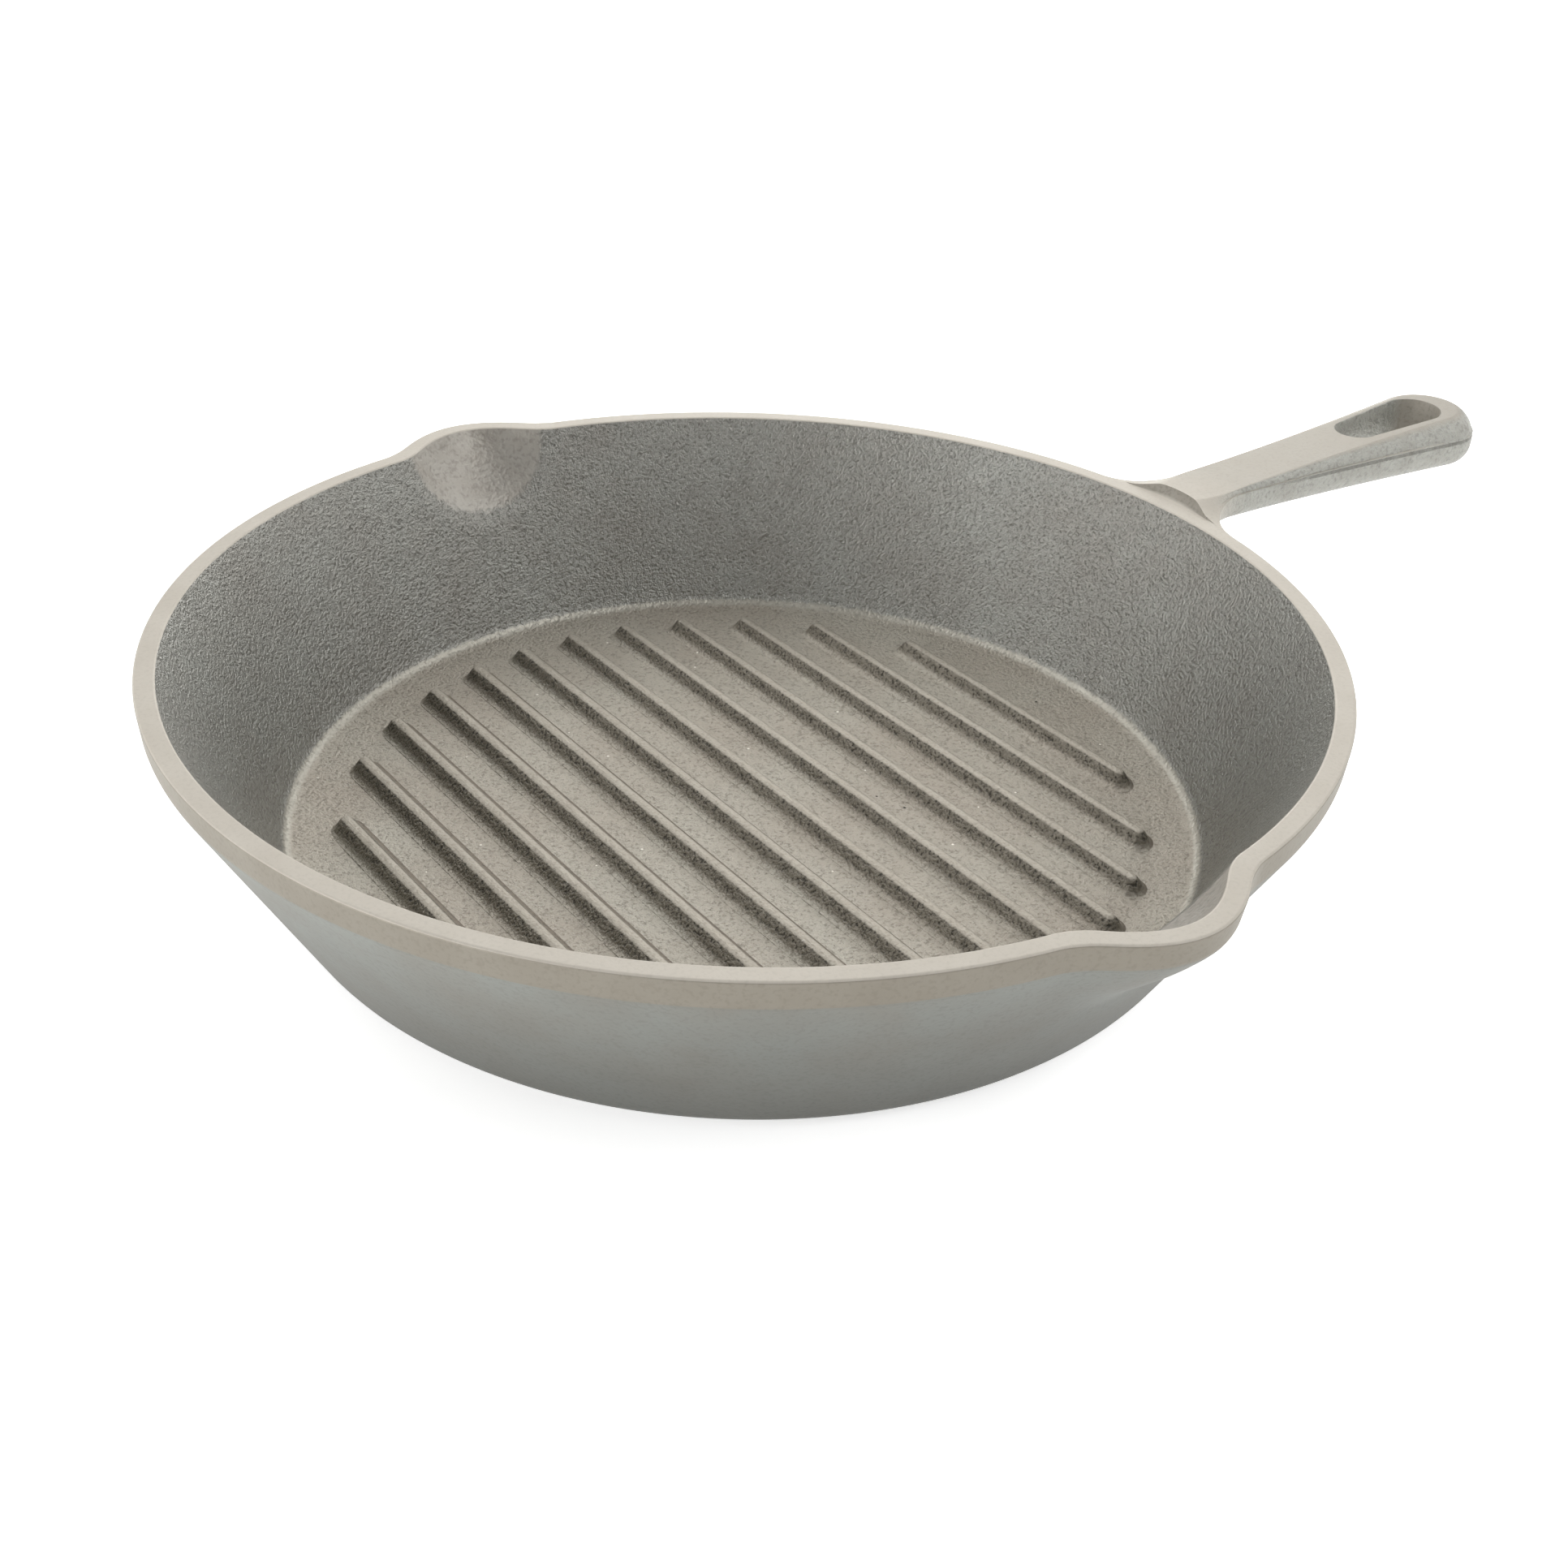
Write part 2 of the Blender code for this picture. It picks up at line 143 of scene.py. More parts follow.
def edit_new_primitive(name: str) -> bpy.types.Object:
    """Name the primitive that was just added and open it in edit mode.

    Args:
        name: The name of the piece that it starts.

    Returns:
        The object, in edit mode.
    """
    piece = bpy.context.object
    piece.name = name
    piece.data.name = name
    bpy.ops.object.mode_set(mode="EDIT")
    return piece


def select_vertices(piece: bpy.types.Object, is_wanted: Callable[[Vector], bool]) -> None:
    """Select the vertices of an edited mesh by their place, and nothing else.

    Args:
        piece: The object in edit mode.
        is_wanted: Tells from a vertex's place whether it is selected.
    """
    bpy.ops.mesh.select_mode(type="VERT")
    bpy.ops.mesh.select_all(action="DESELECT")
    mesh = bmesh.from_edit_mesh(piece.data)
    for vertex in mesh.verts:
        vertex.select_set(is_wanted(vertex.co))
    mesh.select_flush(True)
    bmesh.update_edit_mesh(piece.data)


def trace_line(piece: bpy.types.Object, points: list[Vector]) -> None:
    """Turn an edited primitive into one open line by extruding a vertex from point to point.

    Args:
        piece: The object in edit mode.
        points: The line's points in order.
    """
    bpy.ops.mesh.select_mode(type="VERT")
    mesh = bmesh.from_edit_mesh(piece.data)
    mesh.verts.ensure_lookup_table()
    for vertex in list(mesh.verts)[1:]:
        mesh.verts.remove(vertex)
    mesh.verts.ensure_lookup_table()
    mesh.verts[0].co = points[0]
    mesh.verts[0].select_set(True)
    bmesh.update_edit_mesh(piece.data)
    for start, end in zip(points, points[1:]):
        bpy.ops.mesh.extrude_region_move(TRANSFORM_OT_translate={"value": end - start})


def raise_rings(piece: bpy.types.Object, rings: list[list[Vector]]) -> None:
    """Extrude a filled circle through a stack of outlines, one level at a time.

    Args:
        piece: A filled circle in edit mode with as many vertices as each ring has points.
        rings: The outlines, in order, each with equally many points.
    """
    mesh = bmesh.from_edit_mesh(piece.data)
    mesh.verts.ensure_lookup_table()
    for vertex, point in zip(mesh.verts, rings[0]):
        vertex.co = point
    bmesh.update_edit_mesh(piece.data)
    bpy.ops.mesh.select_mode(type="FACE")
    bpy.ops.mesh.select_all(action="SELECT")
    for ring, next_ring in zip(rings, rings[1:]):
        bpy.ops.mesh.extrude_region()
        mesh = bmesh.from_edit_mesh(piece.data)
        targets = {vertex_key(point): target for point, target in zip(ring, next_ring)}
        for vertex in mesh.verts:
            if vertex.select:
                vertex.co = targets[vertex_key(vertex.co)]
        bmesh.update_edit_mesh(piece.data)
    bpy.ops.mesh.select_all(action="SELECT")
    bpy.ops.mesh.normals_make_consistent(inside=False)


def vertex_key(point: Vector) -> tuple[float, ...]:
    """Give a place as numbers that can be looked up, rounded below a micrometre."""
    return tuple(round(value, KEY_DIGITS) for value in point)


def apply_modifier(piece: bpy.types.Object, kind: str, **settings: object) -> None:
    """Add a modifier to an object in object mode and apply it.

    Args:
        piece: The object.
        kind: The modifier's type name.
        settings: The modifier's properties.
    """
    deselect_all()
    piece.select_set(True)
    bpy.context.view_layer.objects.active = piece
    modifier = piece.modifiers.new(kind.lower(), kind)
    for name, value in settings.items():
        setattr(modifier, name, value)
    bpy.ops.object.modifier_apply(modifier=modifier.name)


def subtract(piece: bpy.types.Object, cutter: bpy.types.Object) -> None:
    """Cut one object out of another and remove the cutter.

    Args:
        piece: The object that is cut.
        cutter: The closed shape that is taken out.
    """
    apply_modifier(piece, "BOOLEAN", operation="DIFFERENCE", solver="EXACT", object=cutter)
    bpy.data.objects.remove(cutter, do_unlink=True)


def merge_doubles(piece: bpy.types.Object) -> None:
    """Merge the vertices of an object that lie on each other, as cutters leave them.

    Args:
        piece: The object, active and in object mode.
    """
    bpy.ops.object.mode_set(mode="EDIT")
    bpy.ops.mesh.select_all(action="SELECT")
    bpy.ops.mesh.remove_doubles(threshold=MERGE_DISTANCE)
    bpy.ops.object.mode_set(mode="OBJECT")


def put_on_casting(piece: bpy.types.Object) -> None:
    """Make a piece ride on the casting's body and stand for its node.

    Args:
        piece: The finished piece.
    """
    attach(piece, CASTING_BODY)
    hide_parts(CASTING_NODE)
    LOG.info("%s: %d faces", piece.name, len(piece.data.polygons))


def round_corners(corners: list[tuple[float, float, float]], steps: int) -> list[Point2]:
    """Give a closed outline with an arc of its own radius at each corner.

    Args:
        corners: The sharp corners in order, each x, y and radius.
        steps: The edges in each arc.

    Returns:
        The outline's points.
    """
    points = []
    for index, (x, y, radius) in enumerate(corners):
        here = Vector((x, y))
        back = (Vector(corners[index - 1][:2]) - here).normalized()
        ahead = (Vector(corners[(index + 1) % len(corners)][:2]) - here).normalized()
        half_angle = back.angle(ahead) / 2.0
        centre = here + (back + ahead).normalized() * (radius / math.sin(half_angle))
        reach = radius / math.tan(half_angle)
        start = here + back * reach - centre
        end = here + ahead * reach - centre
        sweep = start.angle(end)
        for step in range(steps + 1):
            angle = sweep * step / steps
            point = start * math.sin(sweep - angle) + end * math.sin(angle)
            points.append(tuple(centre + point / math.sin(sweep)))
    return points


class Zone(Enum):
    """The material slots of the bowl."""

    INSIDE = 0
    LAND = 1
    BAND = 2
    OUTSIDE = 3


class Mark(Enum):
    """What tells a material where a second finish takes over.

    The first ones are attributes of the mesh. The last four are read from the surface:
    its place along X, its height, how far it faces up and how far it faces +X.
    """

    SCOOP = "scoop"
    FLOOR = "floor"
    FOOT = "foot"
    CREST = "crest"
    FLANK = "flank"
    CREASE = "crease"
    GROOVE = "groove"
    ALONG = "along"
    HEIGHT = "height"
    UPWARD = "upward"
    FORWARD = "forward"


# The texture coordinate and the axis of each mark that is read from the surface.
SURFACE_MARKS = {
    Mark.ALONG: ("Object", "X"),
    Mark.HEIGHT: ("Object", "Z"),
    Mark.UPWARD: ("Normal", "Z"),
    Mark.FORWARD: ("Normal", "X"),
}


def write_mark(piece: bpy.types.Object, mark: Mark, values: list[float]) -> None:
    """Keep a number for each vertex of a piece.

    Args:
        piece: The piece.
        mark: The attribute that holds the numbers.
        values: The numbers, in the order of the vertices.
    """
    attribute = piece.data.attributes.new(mark.value, "FLOAT", "POINT")
    attribute.data.foreach_set("value", values)


@dataclass(frozen=True)
class Spots:
    """Small marks scattered over a finish, with their sizes in millimetres."""

    colour: str
    spacing_mm: float
    radius_mm: float
    share: float

    def scatter(
        self,
        tree: bpy.types.NodeTree,
        place: bpy.types.NodeSocket,
        colour: bpy.types.NodeSocket,
    ) -> bpy.types.NodeSocket:
        """Put a round mark in some of the cells that fill space.

        Args:
            tree: The material's node tree.
            place: The place on the object.
            colour: The colour under the marks.

        Returns:
            The colour with the marks.
        """
        cells = add_node(
            tree, "ShaderNodeTexVoronoi",
            {"Vector": place, "Scale": 1.0 / (self.spacing_mm * MM)},
        )
        near = add_node(
            tree, "ShaderNodeMath",
            {0: cells.outputs["Distance"], 1: self.radius_mm / self.spacing_mm},
            operation="LESS_THAN",
        )
        chosen = add_node(
            tree, "ShaderNodeMath",
            {0: cells.outputs["Color"], 1: self.share},
            operation="LESS_THAN",
        )
        both = add_node(
            tree, "ShaderNodeMath",
            {0: near.outputs[0], 1: chosen.outputs[0]},
            operation="MULTIPLY",
        )
        return add_node(
            tree, "ShaderNodeMix",
            {0: both.outputs[0], 6: colour, 7: linear_colour(self.colour)},
            data_type="RGBA",
        ).outputs[2]


@dataclass(frozen=True)
class LaidFinish:
    """What a finish gives a material."""

    colour: bpy.types.NodeSocket
    height: bpy.types.NodeSocket
    roughness: bpy.types.NodeSocket | float
    metallic: bpy.types.NodeSocket | float


@dataclass(frozen=True)
class IronFinish:
    """One finish of the same shot blasted grey iron, or a highlight or shade painted on it as a
    finish.

    The sand of each part of the mould leaves its own grain, bright lumps with dark
    hollows between them, over soft patches of colour. Sizes are in millimetres.
    """

    name: str
    colour: str
    hollow_colour: str
    patch_colour: str
    patch_mm: float
    grain_mm: float
    grain_height_mm: float
    roughness: float
    metallic: float
    hollow_share: float = 0.5
    hollow_range: Point2 = (0.32, 0.5)
    patch_share: float = 0.5
    patch_range: Point2 = (0.35, 0.68)
    patch_detail: float = 4.0
    grain_detail: float = 1.5
    octave_strength: float = 0.6
    spots: tuple[Spots, ...] = ()

    def surface(self, tree: bpy.types.NodeTree, place: bpy.types.NodeSocket) -> LaidFinish:
        """Lay the finish's pattern in a material.

        Args:
            tree: The material's node tree.
            place: The place on the object that the patterns follow.

        Returns:
            The finish's colour, grain, roughness and metal share.
        """
        grain = add_node(
            tree, "ShaderNodeTexNoise",
            {"Vector": place, "Scale": 1.0 / (self.grain_mm * MM),
             "Detail": self.grain_detail, "Roughness": self.octave_strength},
        )
        patches = add_node(
            tree, "ShaderNodeTexNoise",
            {"Vector": place, "Scale": 1.0 / (self.patch_mm * MM),
             "Detail": self.patch_detail, "Roughness": self.octave_strength},
        )
        patch_mask = add_node(
            tree, "ShaderNodeMapRange",
            {"Value": patches.outputs["Fac"], "From Min": self.patch_range[0],
             "From Max": self.patch_range[1], "To Max": self.patch_share},
        )
        base = add_node(
            tree, "ShaderNodeMix",
            {0: patch_mask.outputs["Result"], 6: linear_colour(self.colour),
             7: linear_colour(self.patch_colour)},
            data_type="RGBA",
        )
        hollows = add_node(
            tree, "ShaderNodeMapRange",
            {"Value": grain.outputs["Fac"], "From Min": self.hollow_range[0],
             "From Max": self.hollow_range[1], "To Min": self.hollow_share, "To Max": 0.0},
        )
        colour = add_node(
            tree, "ShaderNodeMix",
            {0: hollows.outputs["Result"], 6: base.outputs[2],
             7: linear_colour(self.hollow_colour)},
            data_type="RGBA",
        ).outputs[2]
        for spots in self.spots:
            colour = spots.scatter(tree, place, colour)
        height = add_node(
            tree, "ShaderNodeMath",
            {0: grain.outputs["Fac"], 1: self.grain_height_mm * MM},
            operation="MULTIPLY",
        )
        return LaidFinish(colour, height.outputs[0], self.roughness, self.metallic)


@dataclass(frozen=True)
class Overlay:
    """A finish that takes over between two values of a mark, with a ragged border."""

    finish: IronFinish
    mark: Mark
    start: float = 0.0
    end: float = 1.0
    raggedness: float = 0.0
    ragged_mm: float = 1.3

    def follow_mark(self, tree: bpy.types.NodeTree) -> bpy.types.NodeSocket:
        """Read the mark from the mesh or from the surface.

        Args:
            tree: The material's node tree.

        Returns:
            The number that the overlay follows.
        """
        if self.mark in SURFACE_MARKS:
            source, axis = SURFACE_MARKS[self.mark]
            coordinates = add_node(tree, "ShaderNodeTexCoord").outputs[source]
            return add_node(tree, "ShaderNodeSeparateXYZ", {0: coordinates}).outputs[axis]
        attribute = add_node(tree, "ShaderNodeAttribute", attribute_name=self.mark.value)
        return attribute.outputs["Fac"]

    def lay(
        self, tree: bpy.types.NodeTree, place: bpy.types.NodeSocket, under: LaidFinish
    ) -> LaidFinish:
        """Lay the finish over another.

        Args:
            tree: The material's node tree.
            place: The place on the object.
            under: The finish that stays where the mark is low.

        Returns:
            The blend.
        """
        over = self.finish.surface(tree, place)
        rags = add_node(
            tree, "ShaderNodeTexNoise",
            {"Vector": place, "Scale": 1.0 / (self.ragged_mm * MM)},
        )
        ragged = add_node(
            tree, "ShaderNodeMath",
            {0: rags.outputs["Fac"], 1: self.raggedness, 2: self.follow_mark(tree)},
            operation="MULTIPLY_ADD",
        )
        middle = self.raggedness / 2.0
        mask = add_node(
            tree, "ShaderNodeMapRange",
            {"Value": ragged.outputs[0], "From Min": self.start + middle,
             "From Max": self.end + middle},
        ).outputs["Result"]
        colour = add_node(
            tree, "ShaderNodeMix", {0: mask, 6: under.colour, 7: over.colour},
            data_type="RGBA",
        )
        numbers = [
            low if low == high
            else add_node(tree, "ShaderNodeMix", {0: mask, 2: low, 3: high}).outputs[0]
            for low, high in (
                (under.height, over.height),
                (under.roughness, over.roughness),
                (under.metallic, over.metallic),
            )
        ]
        return LaidFinish(colour.outputs[2], *numbers)


# Green sand leaves the wall covered in lumps as big as sugar grains, which sparkle where
# the light meets them.
COARSE_WALL = IronFinish(
    name="as_cast_iron_wall",
    colour="9f9f99", hollow_colour="504e49", patch_colour="8d8881", patch_mm=26.0,
    grain_mm=0.85, grain_height_mm=0.6, grain_detail=2.5, octave_strength=0.7,
    hollow_share=0.55, roughness=0.37, metallic=0.85,
)
# The scoops are ground smooth by hand, so they look soft and a little warmer.
GROUND_SCOOP = IronFinish(
    name="ground_iron_scoop",
    colour="b2aea6", hollow_colour="8c8780", patch_colour="9e978d", patch_mm=7.0,
    grain_mm=1.3, grain_height_mm=0.25, roughness=0.52, metallic=0.5,
)
# The floor and ribs come from a finer facing sand, so they look like sandpaper, with blow holes here
# and there, and bright specks that are partly chips of bare iron and partly painted glints.
FINE_FLOOR = IronFinish(
    name="as_cast_iron_floor",
    colour="bab5a9", hollow_colour="7c766a", patch_colour="ada396", patch_share=0.6,
    patch_mm=30.0, grain_mm=0.85, grain_height_mm=0.6, grain_detail=2.5,
    hollow_share=0.6, roughness=0.5, metallic=0.6,
    spots=(
        Spots("37342f", 7.0, 0.42, 0.16),
        # Bright specks: chips of bare iron, and painted glints where the grain catches the light.
        Spots("f3f1ea", 16.0, 0.5, 0.16),
        Spots("efece2", 3.0, 0.33, 0.16),
    ),
)
# The crests of the ribs are rubbed smooth, so they look plainer than the gritty flanks.
RUBBED_CREST = IronFinish(
    name="rubbed_iron_crest",
    colour="aca69a", hollow_colour="817b6f", patch_colour="a1998c", patch_mm=12.0,
    grain_mm=0.9, grain_height_mm=0.25, hollow_share=0.4, roughness=0.5, metallic=0.6,
)
# The flanks of the ribs are gritty, and their colour is darkened with painted shade, as steep faces
# that the light reaches less.
FLANK_PAINTED_SHADE = IronFinish(
    name="iron_flank_painted_shade",
    colour="878175", hollow_colour="35322b", patch_colour="706a5e", patch_mm=9.0,
    grain_mm=0.8, grain_height_mm=0.7, hollow_share=0.9, roughness=0.5, metallic=0.6,
)
# Shade is painted into the crease behind each rib, as a brown line.
CREASE_PAINTED_SHADE = IronFinish(
    name="iron_crease_painted_shade",
    colour="857b6e", hollow_colour="4c463e", patch_colour="6f665a", patch_mm=8.0,
    grain_mm=0.9, grain_height_mm=0.2, roughness=0.7, metallic=0.2,
)
# A painted highlight makes the fillet at the wall's foot stand out as a faint pale ring, where its
# curve catches the light.
FOOT_PAINTED_HIGHLIGHT = IronFinish(
    name="iron_foot_painted_highlight",
    colour="c4c1b6", hollow_colour="868278", patch_colour="b5b0a4", patch_mm=14.0,
    grain_mm=1.0, grain_height_mm=0.35, roughness=0.5, metallic=0.6,
)
# The rim's land is ground flat and rubbed, and its colour is lifted with painted light for facing
# up, so it is the palest part.
GROUND_AND_LIT_LAND = IronFinish(
    name="ground_iron_land_painted_light",
    colour="c6c0b5", hollow_colour="b3ada2", patch_colour="bbb4a8", patch_mm=14.0,
    grain_mm=0.9, grain_height_mm=0.04, hollow_share=0.3, roughness=0.65, metallic=0.3,
)
# The rim's band is blasted but not ground, so it is darker and browner than the land.
BLASTED_BAND = IronFinish(
    name="blasted_iron_band",
    colour="989286", hollow_colour="7f796e", patch_colour="8d8679", patch_mm=14.0,
    grain_mm=1.0, grain_height_mm=0.05, hollow_share=0.3, roughness=0.5, metallic=0.5,
)
# The handle's top is rubbed down, so it looks soft.
RUBBED_TOP = IronFinish(
    name="rubbed_iron_top",
    colour="aca79d", hollow_colour="9c968b", patch_colour="a59e92", patch_mm=14.0,
    grain_mm=0.9, grain_height_mm=0.04, hollow_share=0.3, roughness=0.55, metallic=0.5,
)
# The handle's sides keep the mould's grain and a cooler grey.
HANDLE_SIDE = IronFinish(
    name="as_cast_iron_handle_side",
    colour="b0b0a9", hollow_colour="807f79", patch_colour="9e9b93", patch_share=0.6,
    patch_mm=6.0, grain_mm=1.1, grain_height_mm=0.75, grain_detail=2.5, hollow_share=0.5,
    roughness=0.5, metallic=0.6,
)
# Shade is painted into the groove under the parting line along the handle's sides, as a dark line.
GROOVE_PAINTED_SHADE = IronFinish(
    name="iron_groove_painted_shade",
    colour="84837c", hollow_colour="5c5b55", patch_colour="74726b", patch_mm=5.0,
    grain_mm=1.0, grain_height_mm=0.3, roughness=0.7, metallic=0.2,
)
# Shade is painted on the handle's faces that turn towards the bowl, so the cove at the rim and the
# far wall of the hang hole look dark.
COVE_PAINTED_SHADE = IronFinish(
    name="iron_cove_painted_shade",
    colour="99948a", hollow_colour="7c776d", patch_colour="8c867b", patch_mm=6.0,
    grain_mm=1.0, grain_height_mm=0.05, roughness=0.6, metallic=0.3,
)
# The outside is blasted smooth, grey with cool and warm clouds.
BLASTED_OUTSIDE = IronFinish(
    name="blasted_iron_outside",
    colour="949690", hollow_colour="7b7a73", patch_colour="8b867c", patch_share=0.6,
    patch_mm=22.0, grain_mm=1.0, grain_height_mm=0.05, hollow_share=0.3,
    roughness=0.55, metallic=0.35,
)
# Shade is painted on the outer wall, darker towards the base, which stands in its own shadow on the
# table.
BASE_PAINTED_SHADE = IronFinish(
    name="iron_base_painted_shade",
    colour="696a64", hollow_colour="54534e", patch_colour="615f58", patch_mm=22.0,
    grain_mm=1.0, grain_height_mm=0.05, hollow_share=0.3, roughness=0.55, metallic=0.35,
)


def iron_material(finish: IronFinish, *overlays: Overlay) -> bpy.types.Material:
    """Make the material of a finish.

    Args:
        finish: The finish of the surface.
        overlays: The finishes that take over in places.

    Returns:
        The material.
    """
    material = bpy.data.materials.new(finish.name)
    material.use_nodes = True
    tree = material.node_tree
    shader = tree.nodes["Principled BSDF"]
    place = add_node(tree, "ShaderNodeTexCoord").outputs["Object"]
    laid = finish.surface(tree, place)
    for overlay in overlays:
        laid = overlay.lay(tree, place, laid)
    bump = add_node(tree, "ShaderNodeBump", {"Height": laid.height, "Distance": 1.0})
    feed(tree, shader, "Base Color", laid.colour)
    feed(tree, shader, "Normal", bump.outputs["Normal"])
    feed(tree, shader, "Roughness", laid.roughness)
    feed(tree, shader, "Metallic", laid.metallic)
    return material


@dataclass
class BowlShell:
    """The turned bowl with its rim band and its two pouring spouts."""

    height: float = 0.054
    rim_radius: float = 0.130
    land_width: float = 0.0044
    band_height: float = 0.006
    band_draft: float = 0.0005
    inner_edge_rounding: float = 0.0006
    outer_edge_rounding: float = 0.0006
    band_foot_rounding: float = 0.004
    base_radius: float = 0.1032
    base_rounding: float = 0.008
    floor_height: float = 0.0072
    floor_radius: float = 0.0942
    margin_width: float = 0.0094
    margin_rise: float = 0.0011
    margin_rounding: float = 0.05
    wall_foot_rounding: float = 0.0045
    foot_highlight_middle: float = 0.56
    foot_highlight_reach: float = 0.40
    floor_finish_end: Point2 = (0.5, 0.95)
    arc_steps: int = 8
    wall_cuts: int = 34
    columns: int = 480
    spout_reach: float = 0.0087
    scoop_half_width: float = 0.0193
    scoop_depth: float = 0.0173
    bulge_extra_half_width: float = 0.0022
    bulge_extra_depth: float = 0.0075
    spout_side_power: float = 1.1
    spout_softness: float = 0.003

    @property
    def wall_foot(self) -> Point2:
        """The radius and height at which the floor's margin meets the wall."""
        return self.floor_radius + self.margin_width, self.floor_height + self.margin_rise

    @property
    def land_inner_radius(self) -> float:
        """The radius of the rim land's inner edge."""
        return self.rim_radius - self.land_width

    @property
    def band_foot(self) -> Point2:
        """The radius and height of the rim band's foot."""
        return self.rim_radius - self.band_draft, self.height - self.band_height

    def inner_radius(self, height: float) -> float:
        """Give the inner wall's radius at a height.

        Args:
            height: The height above the base.

        Returns:
            The radius.
        """
        foot_radius, foot_height = self.wall_foot
        share = (height - foot_height) / (self.height - foot_height)
        return share_between(foot_radius, self.land_inner_radius, share)

    def outer_radius(self, height: float) -> float:
        """Give the outer wall's radius at a height.

        Args:
            height: The height above the base.

        Returns:
            The radius.
        """
        foot_radius, foot_height = self.band_foot
        if height >= foot_height:
            share = (height - foot_height) / self.band_height
            return share_between(foot_radius, self.rim_radius, share)
        return share_between(self.base_radius, foot_radius, height / foot_height)

    def section_corners(self) -> list[tuple[float, float, float]]:
        """List the section's corners from the floor's centre over the rim to the base.

        Returns:
            Radius, height and rounding of each corner.
        """
        return [
            (0.0, self.floor_height, 0.0),
            (self.floor_radius, self.floor_height, self.margin_rounding),
            (*self.wall_foot, self.wall_foot_rounding),
            (self.land_inner_radius, self.height, self.inner_edge_rounding),
            (self.rim_radius, self.height, self.outer_edge_rounding),
            (*self.band_foot, self.band_foot_rounding),
            (self.base_radius, 0.0, self.base_rounding),
            (0.0, 0.0, 0.0),
        ]

    def build(self) -> bpy.types.Object:
        """Turn the section, push the spouts out and lay the finishes.

        Returns:
            The bowl.
        """
        bpy.ops.mesh.primitive_plane_add(size=MM)
        bowl = edit_new_primitive("bowl_shell")
        corners = self.section_corners()
        trace_line(bowl, [Vector((radius, 0.0, height)) for radius, height, _ in corners])
        self.round_section(bowl, corners)
        self.divide_walls(bowl)
        bpy.ops.mesh.select_all(action="SELECT")
        bpy.ops.mesh.spin(
            steps=self.columns, angle=math.tau, center=(0.0, 0.0, 0.0), axis=(0.0, 0.0, 1.0)
        )
        bpy.ops.mesh.select_all(action="SELECT")
        bpy.ops.mesh.remove_doubles(threshold=MERGE_DISTANCE)
        bpy.ops.mesh.normals_make_consistent(inside=False)
        bpy.ops.mesh.faces_shade_smooth()
        bpy.ops.object.mode_set(mode="OBJECT")
        self.lay_zones(bowl)
        self.mark_floor(bowl)
        self.push_spouts(bowl)
        apply_modifier(bowl, "WEIGHTED_NORMAL", keep_sharp=True)
        return bowl

    def round_section(
        self, bowl: bpy.types.Object, corners: list[tuple[float, float, float]]
    ) -> None:
        """Bevel each corner of the traced section to its own radius.

        Args:
            bowl: The traced section in edit mode.
            corners: Radius, height and rounding of each corner.
        """
        for before, here, after in zip(corners, corners[1:], corners[2:]):
            corner = Vector((here[0], 0.0, here[1]))
            back = Vector((before[0], 0.0, before[1])) - corner
            ahead = Vector((after[0], 0.0, after[1])) - corner
            select_vertices(bowl, lambda place: (place - corner).length < MERGE_DISTANCE)
            bpy.ops.mesh.bevel(
                offset=here[2] / math.tan(back.angle(ahead) / 2.0),
                segments=self.arc_steps,
                affect="VERTICES",
            )

    def divide_walls(self, bowl: bpy.types.Object) -> None:
        """Divide the long edges of both walls, so that the spouts can bend them.

        Args:
            bowl: The traced section in edit mode.
        """
        low = self.wall_foot[1]
        high = self.band_foot[1]
        bpy.ops.mesh.select_mode(type="EDGE")
        bpy.ops.mesh.select_all(action="DESELECT")
        mesh = bmesh.from_edit_mesh(bowl.data)
        for edge in mesh.edges:
            rise = abs(edge.verts[0].co.z - edge.verts[1].co.z)
            edge.select_set(rise > (high - low) / 2.0)
        bmesh.update_edit_mesh(bowl.data)
        bpy.ops.mesh.subdivide(number_cuts=self.wall_cuts)

    def lay_zones(self, bowl: bpy.types.Object) -> None:
        """Give each part of the turned bowl its finish.

        Args:
            bowl: The bowl before its spouts are pushed out.
        """
        for zone_material in (
            iron_material(
                COARSE_WALL,
                Overlay(FINE_FLOOR, Mark.FLOOR, start=0.2, end=0.8, raggedness=0.8),
                # A painted highlight lies as a pale ring along the fillet at the wall's foot.
                Overlay(FOOT_PAINTED_HIGHLIGHT, Mark.FOOT, start=0.1, raggedness=1.0),
                Overlay(GROUND_SCOOP, Mark.SCOOP, end=0.12, raggedness=0.25),
            ),
            # The land is ground, and paler still with painted light from above.
            iron_material(GROUND_AND_LIT_LAND),
            iron_material(BLASTED_BAND),
            iron_material(
                BLASTED_OUTSIDE,
                # Painted shade darkens the outer wall towards its base.
                Overlay(BASE_PAINTED_SHADE, Mark.HEIGHT, start=self.band_foot[1], end=0.0,
                        raggedness=0.012, ragged_mm=25.0),
            ),
        ):
            bowl.data.materials.append(zone_material)
        for face in bowl.data.polygons:
            face.material_index = self.zone_at(face.center).value

    def zone_at(self, place: Vector) -> Zone:
        """Tell which finish a place on the turned bowl has.

        Args:
            place: The middle of a face.

        Returns:
            The zone.
        """
        radius = math.hypot(place.x, place.y)
        is_inside = radius < (self.inner_radius(place.z) + self.outer_radius(place.z)) / 2.0
        if place.z > self.height - self.inner_edge_rounding / 2.0:
            return Zone.LAND
        if is_inside and place.z > self.floor_height / 2.0:
            return Zone.INSIDE
        return Zone.BAND if place.z > self.band_foot[1] else Zone.OUTSIDE

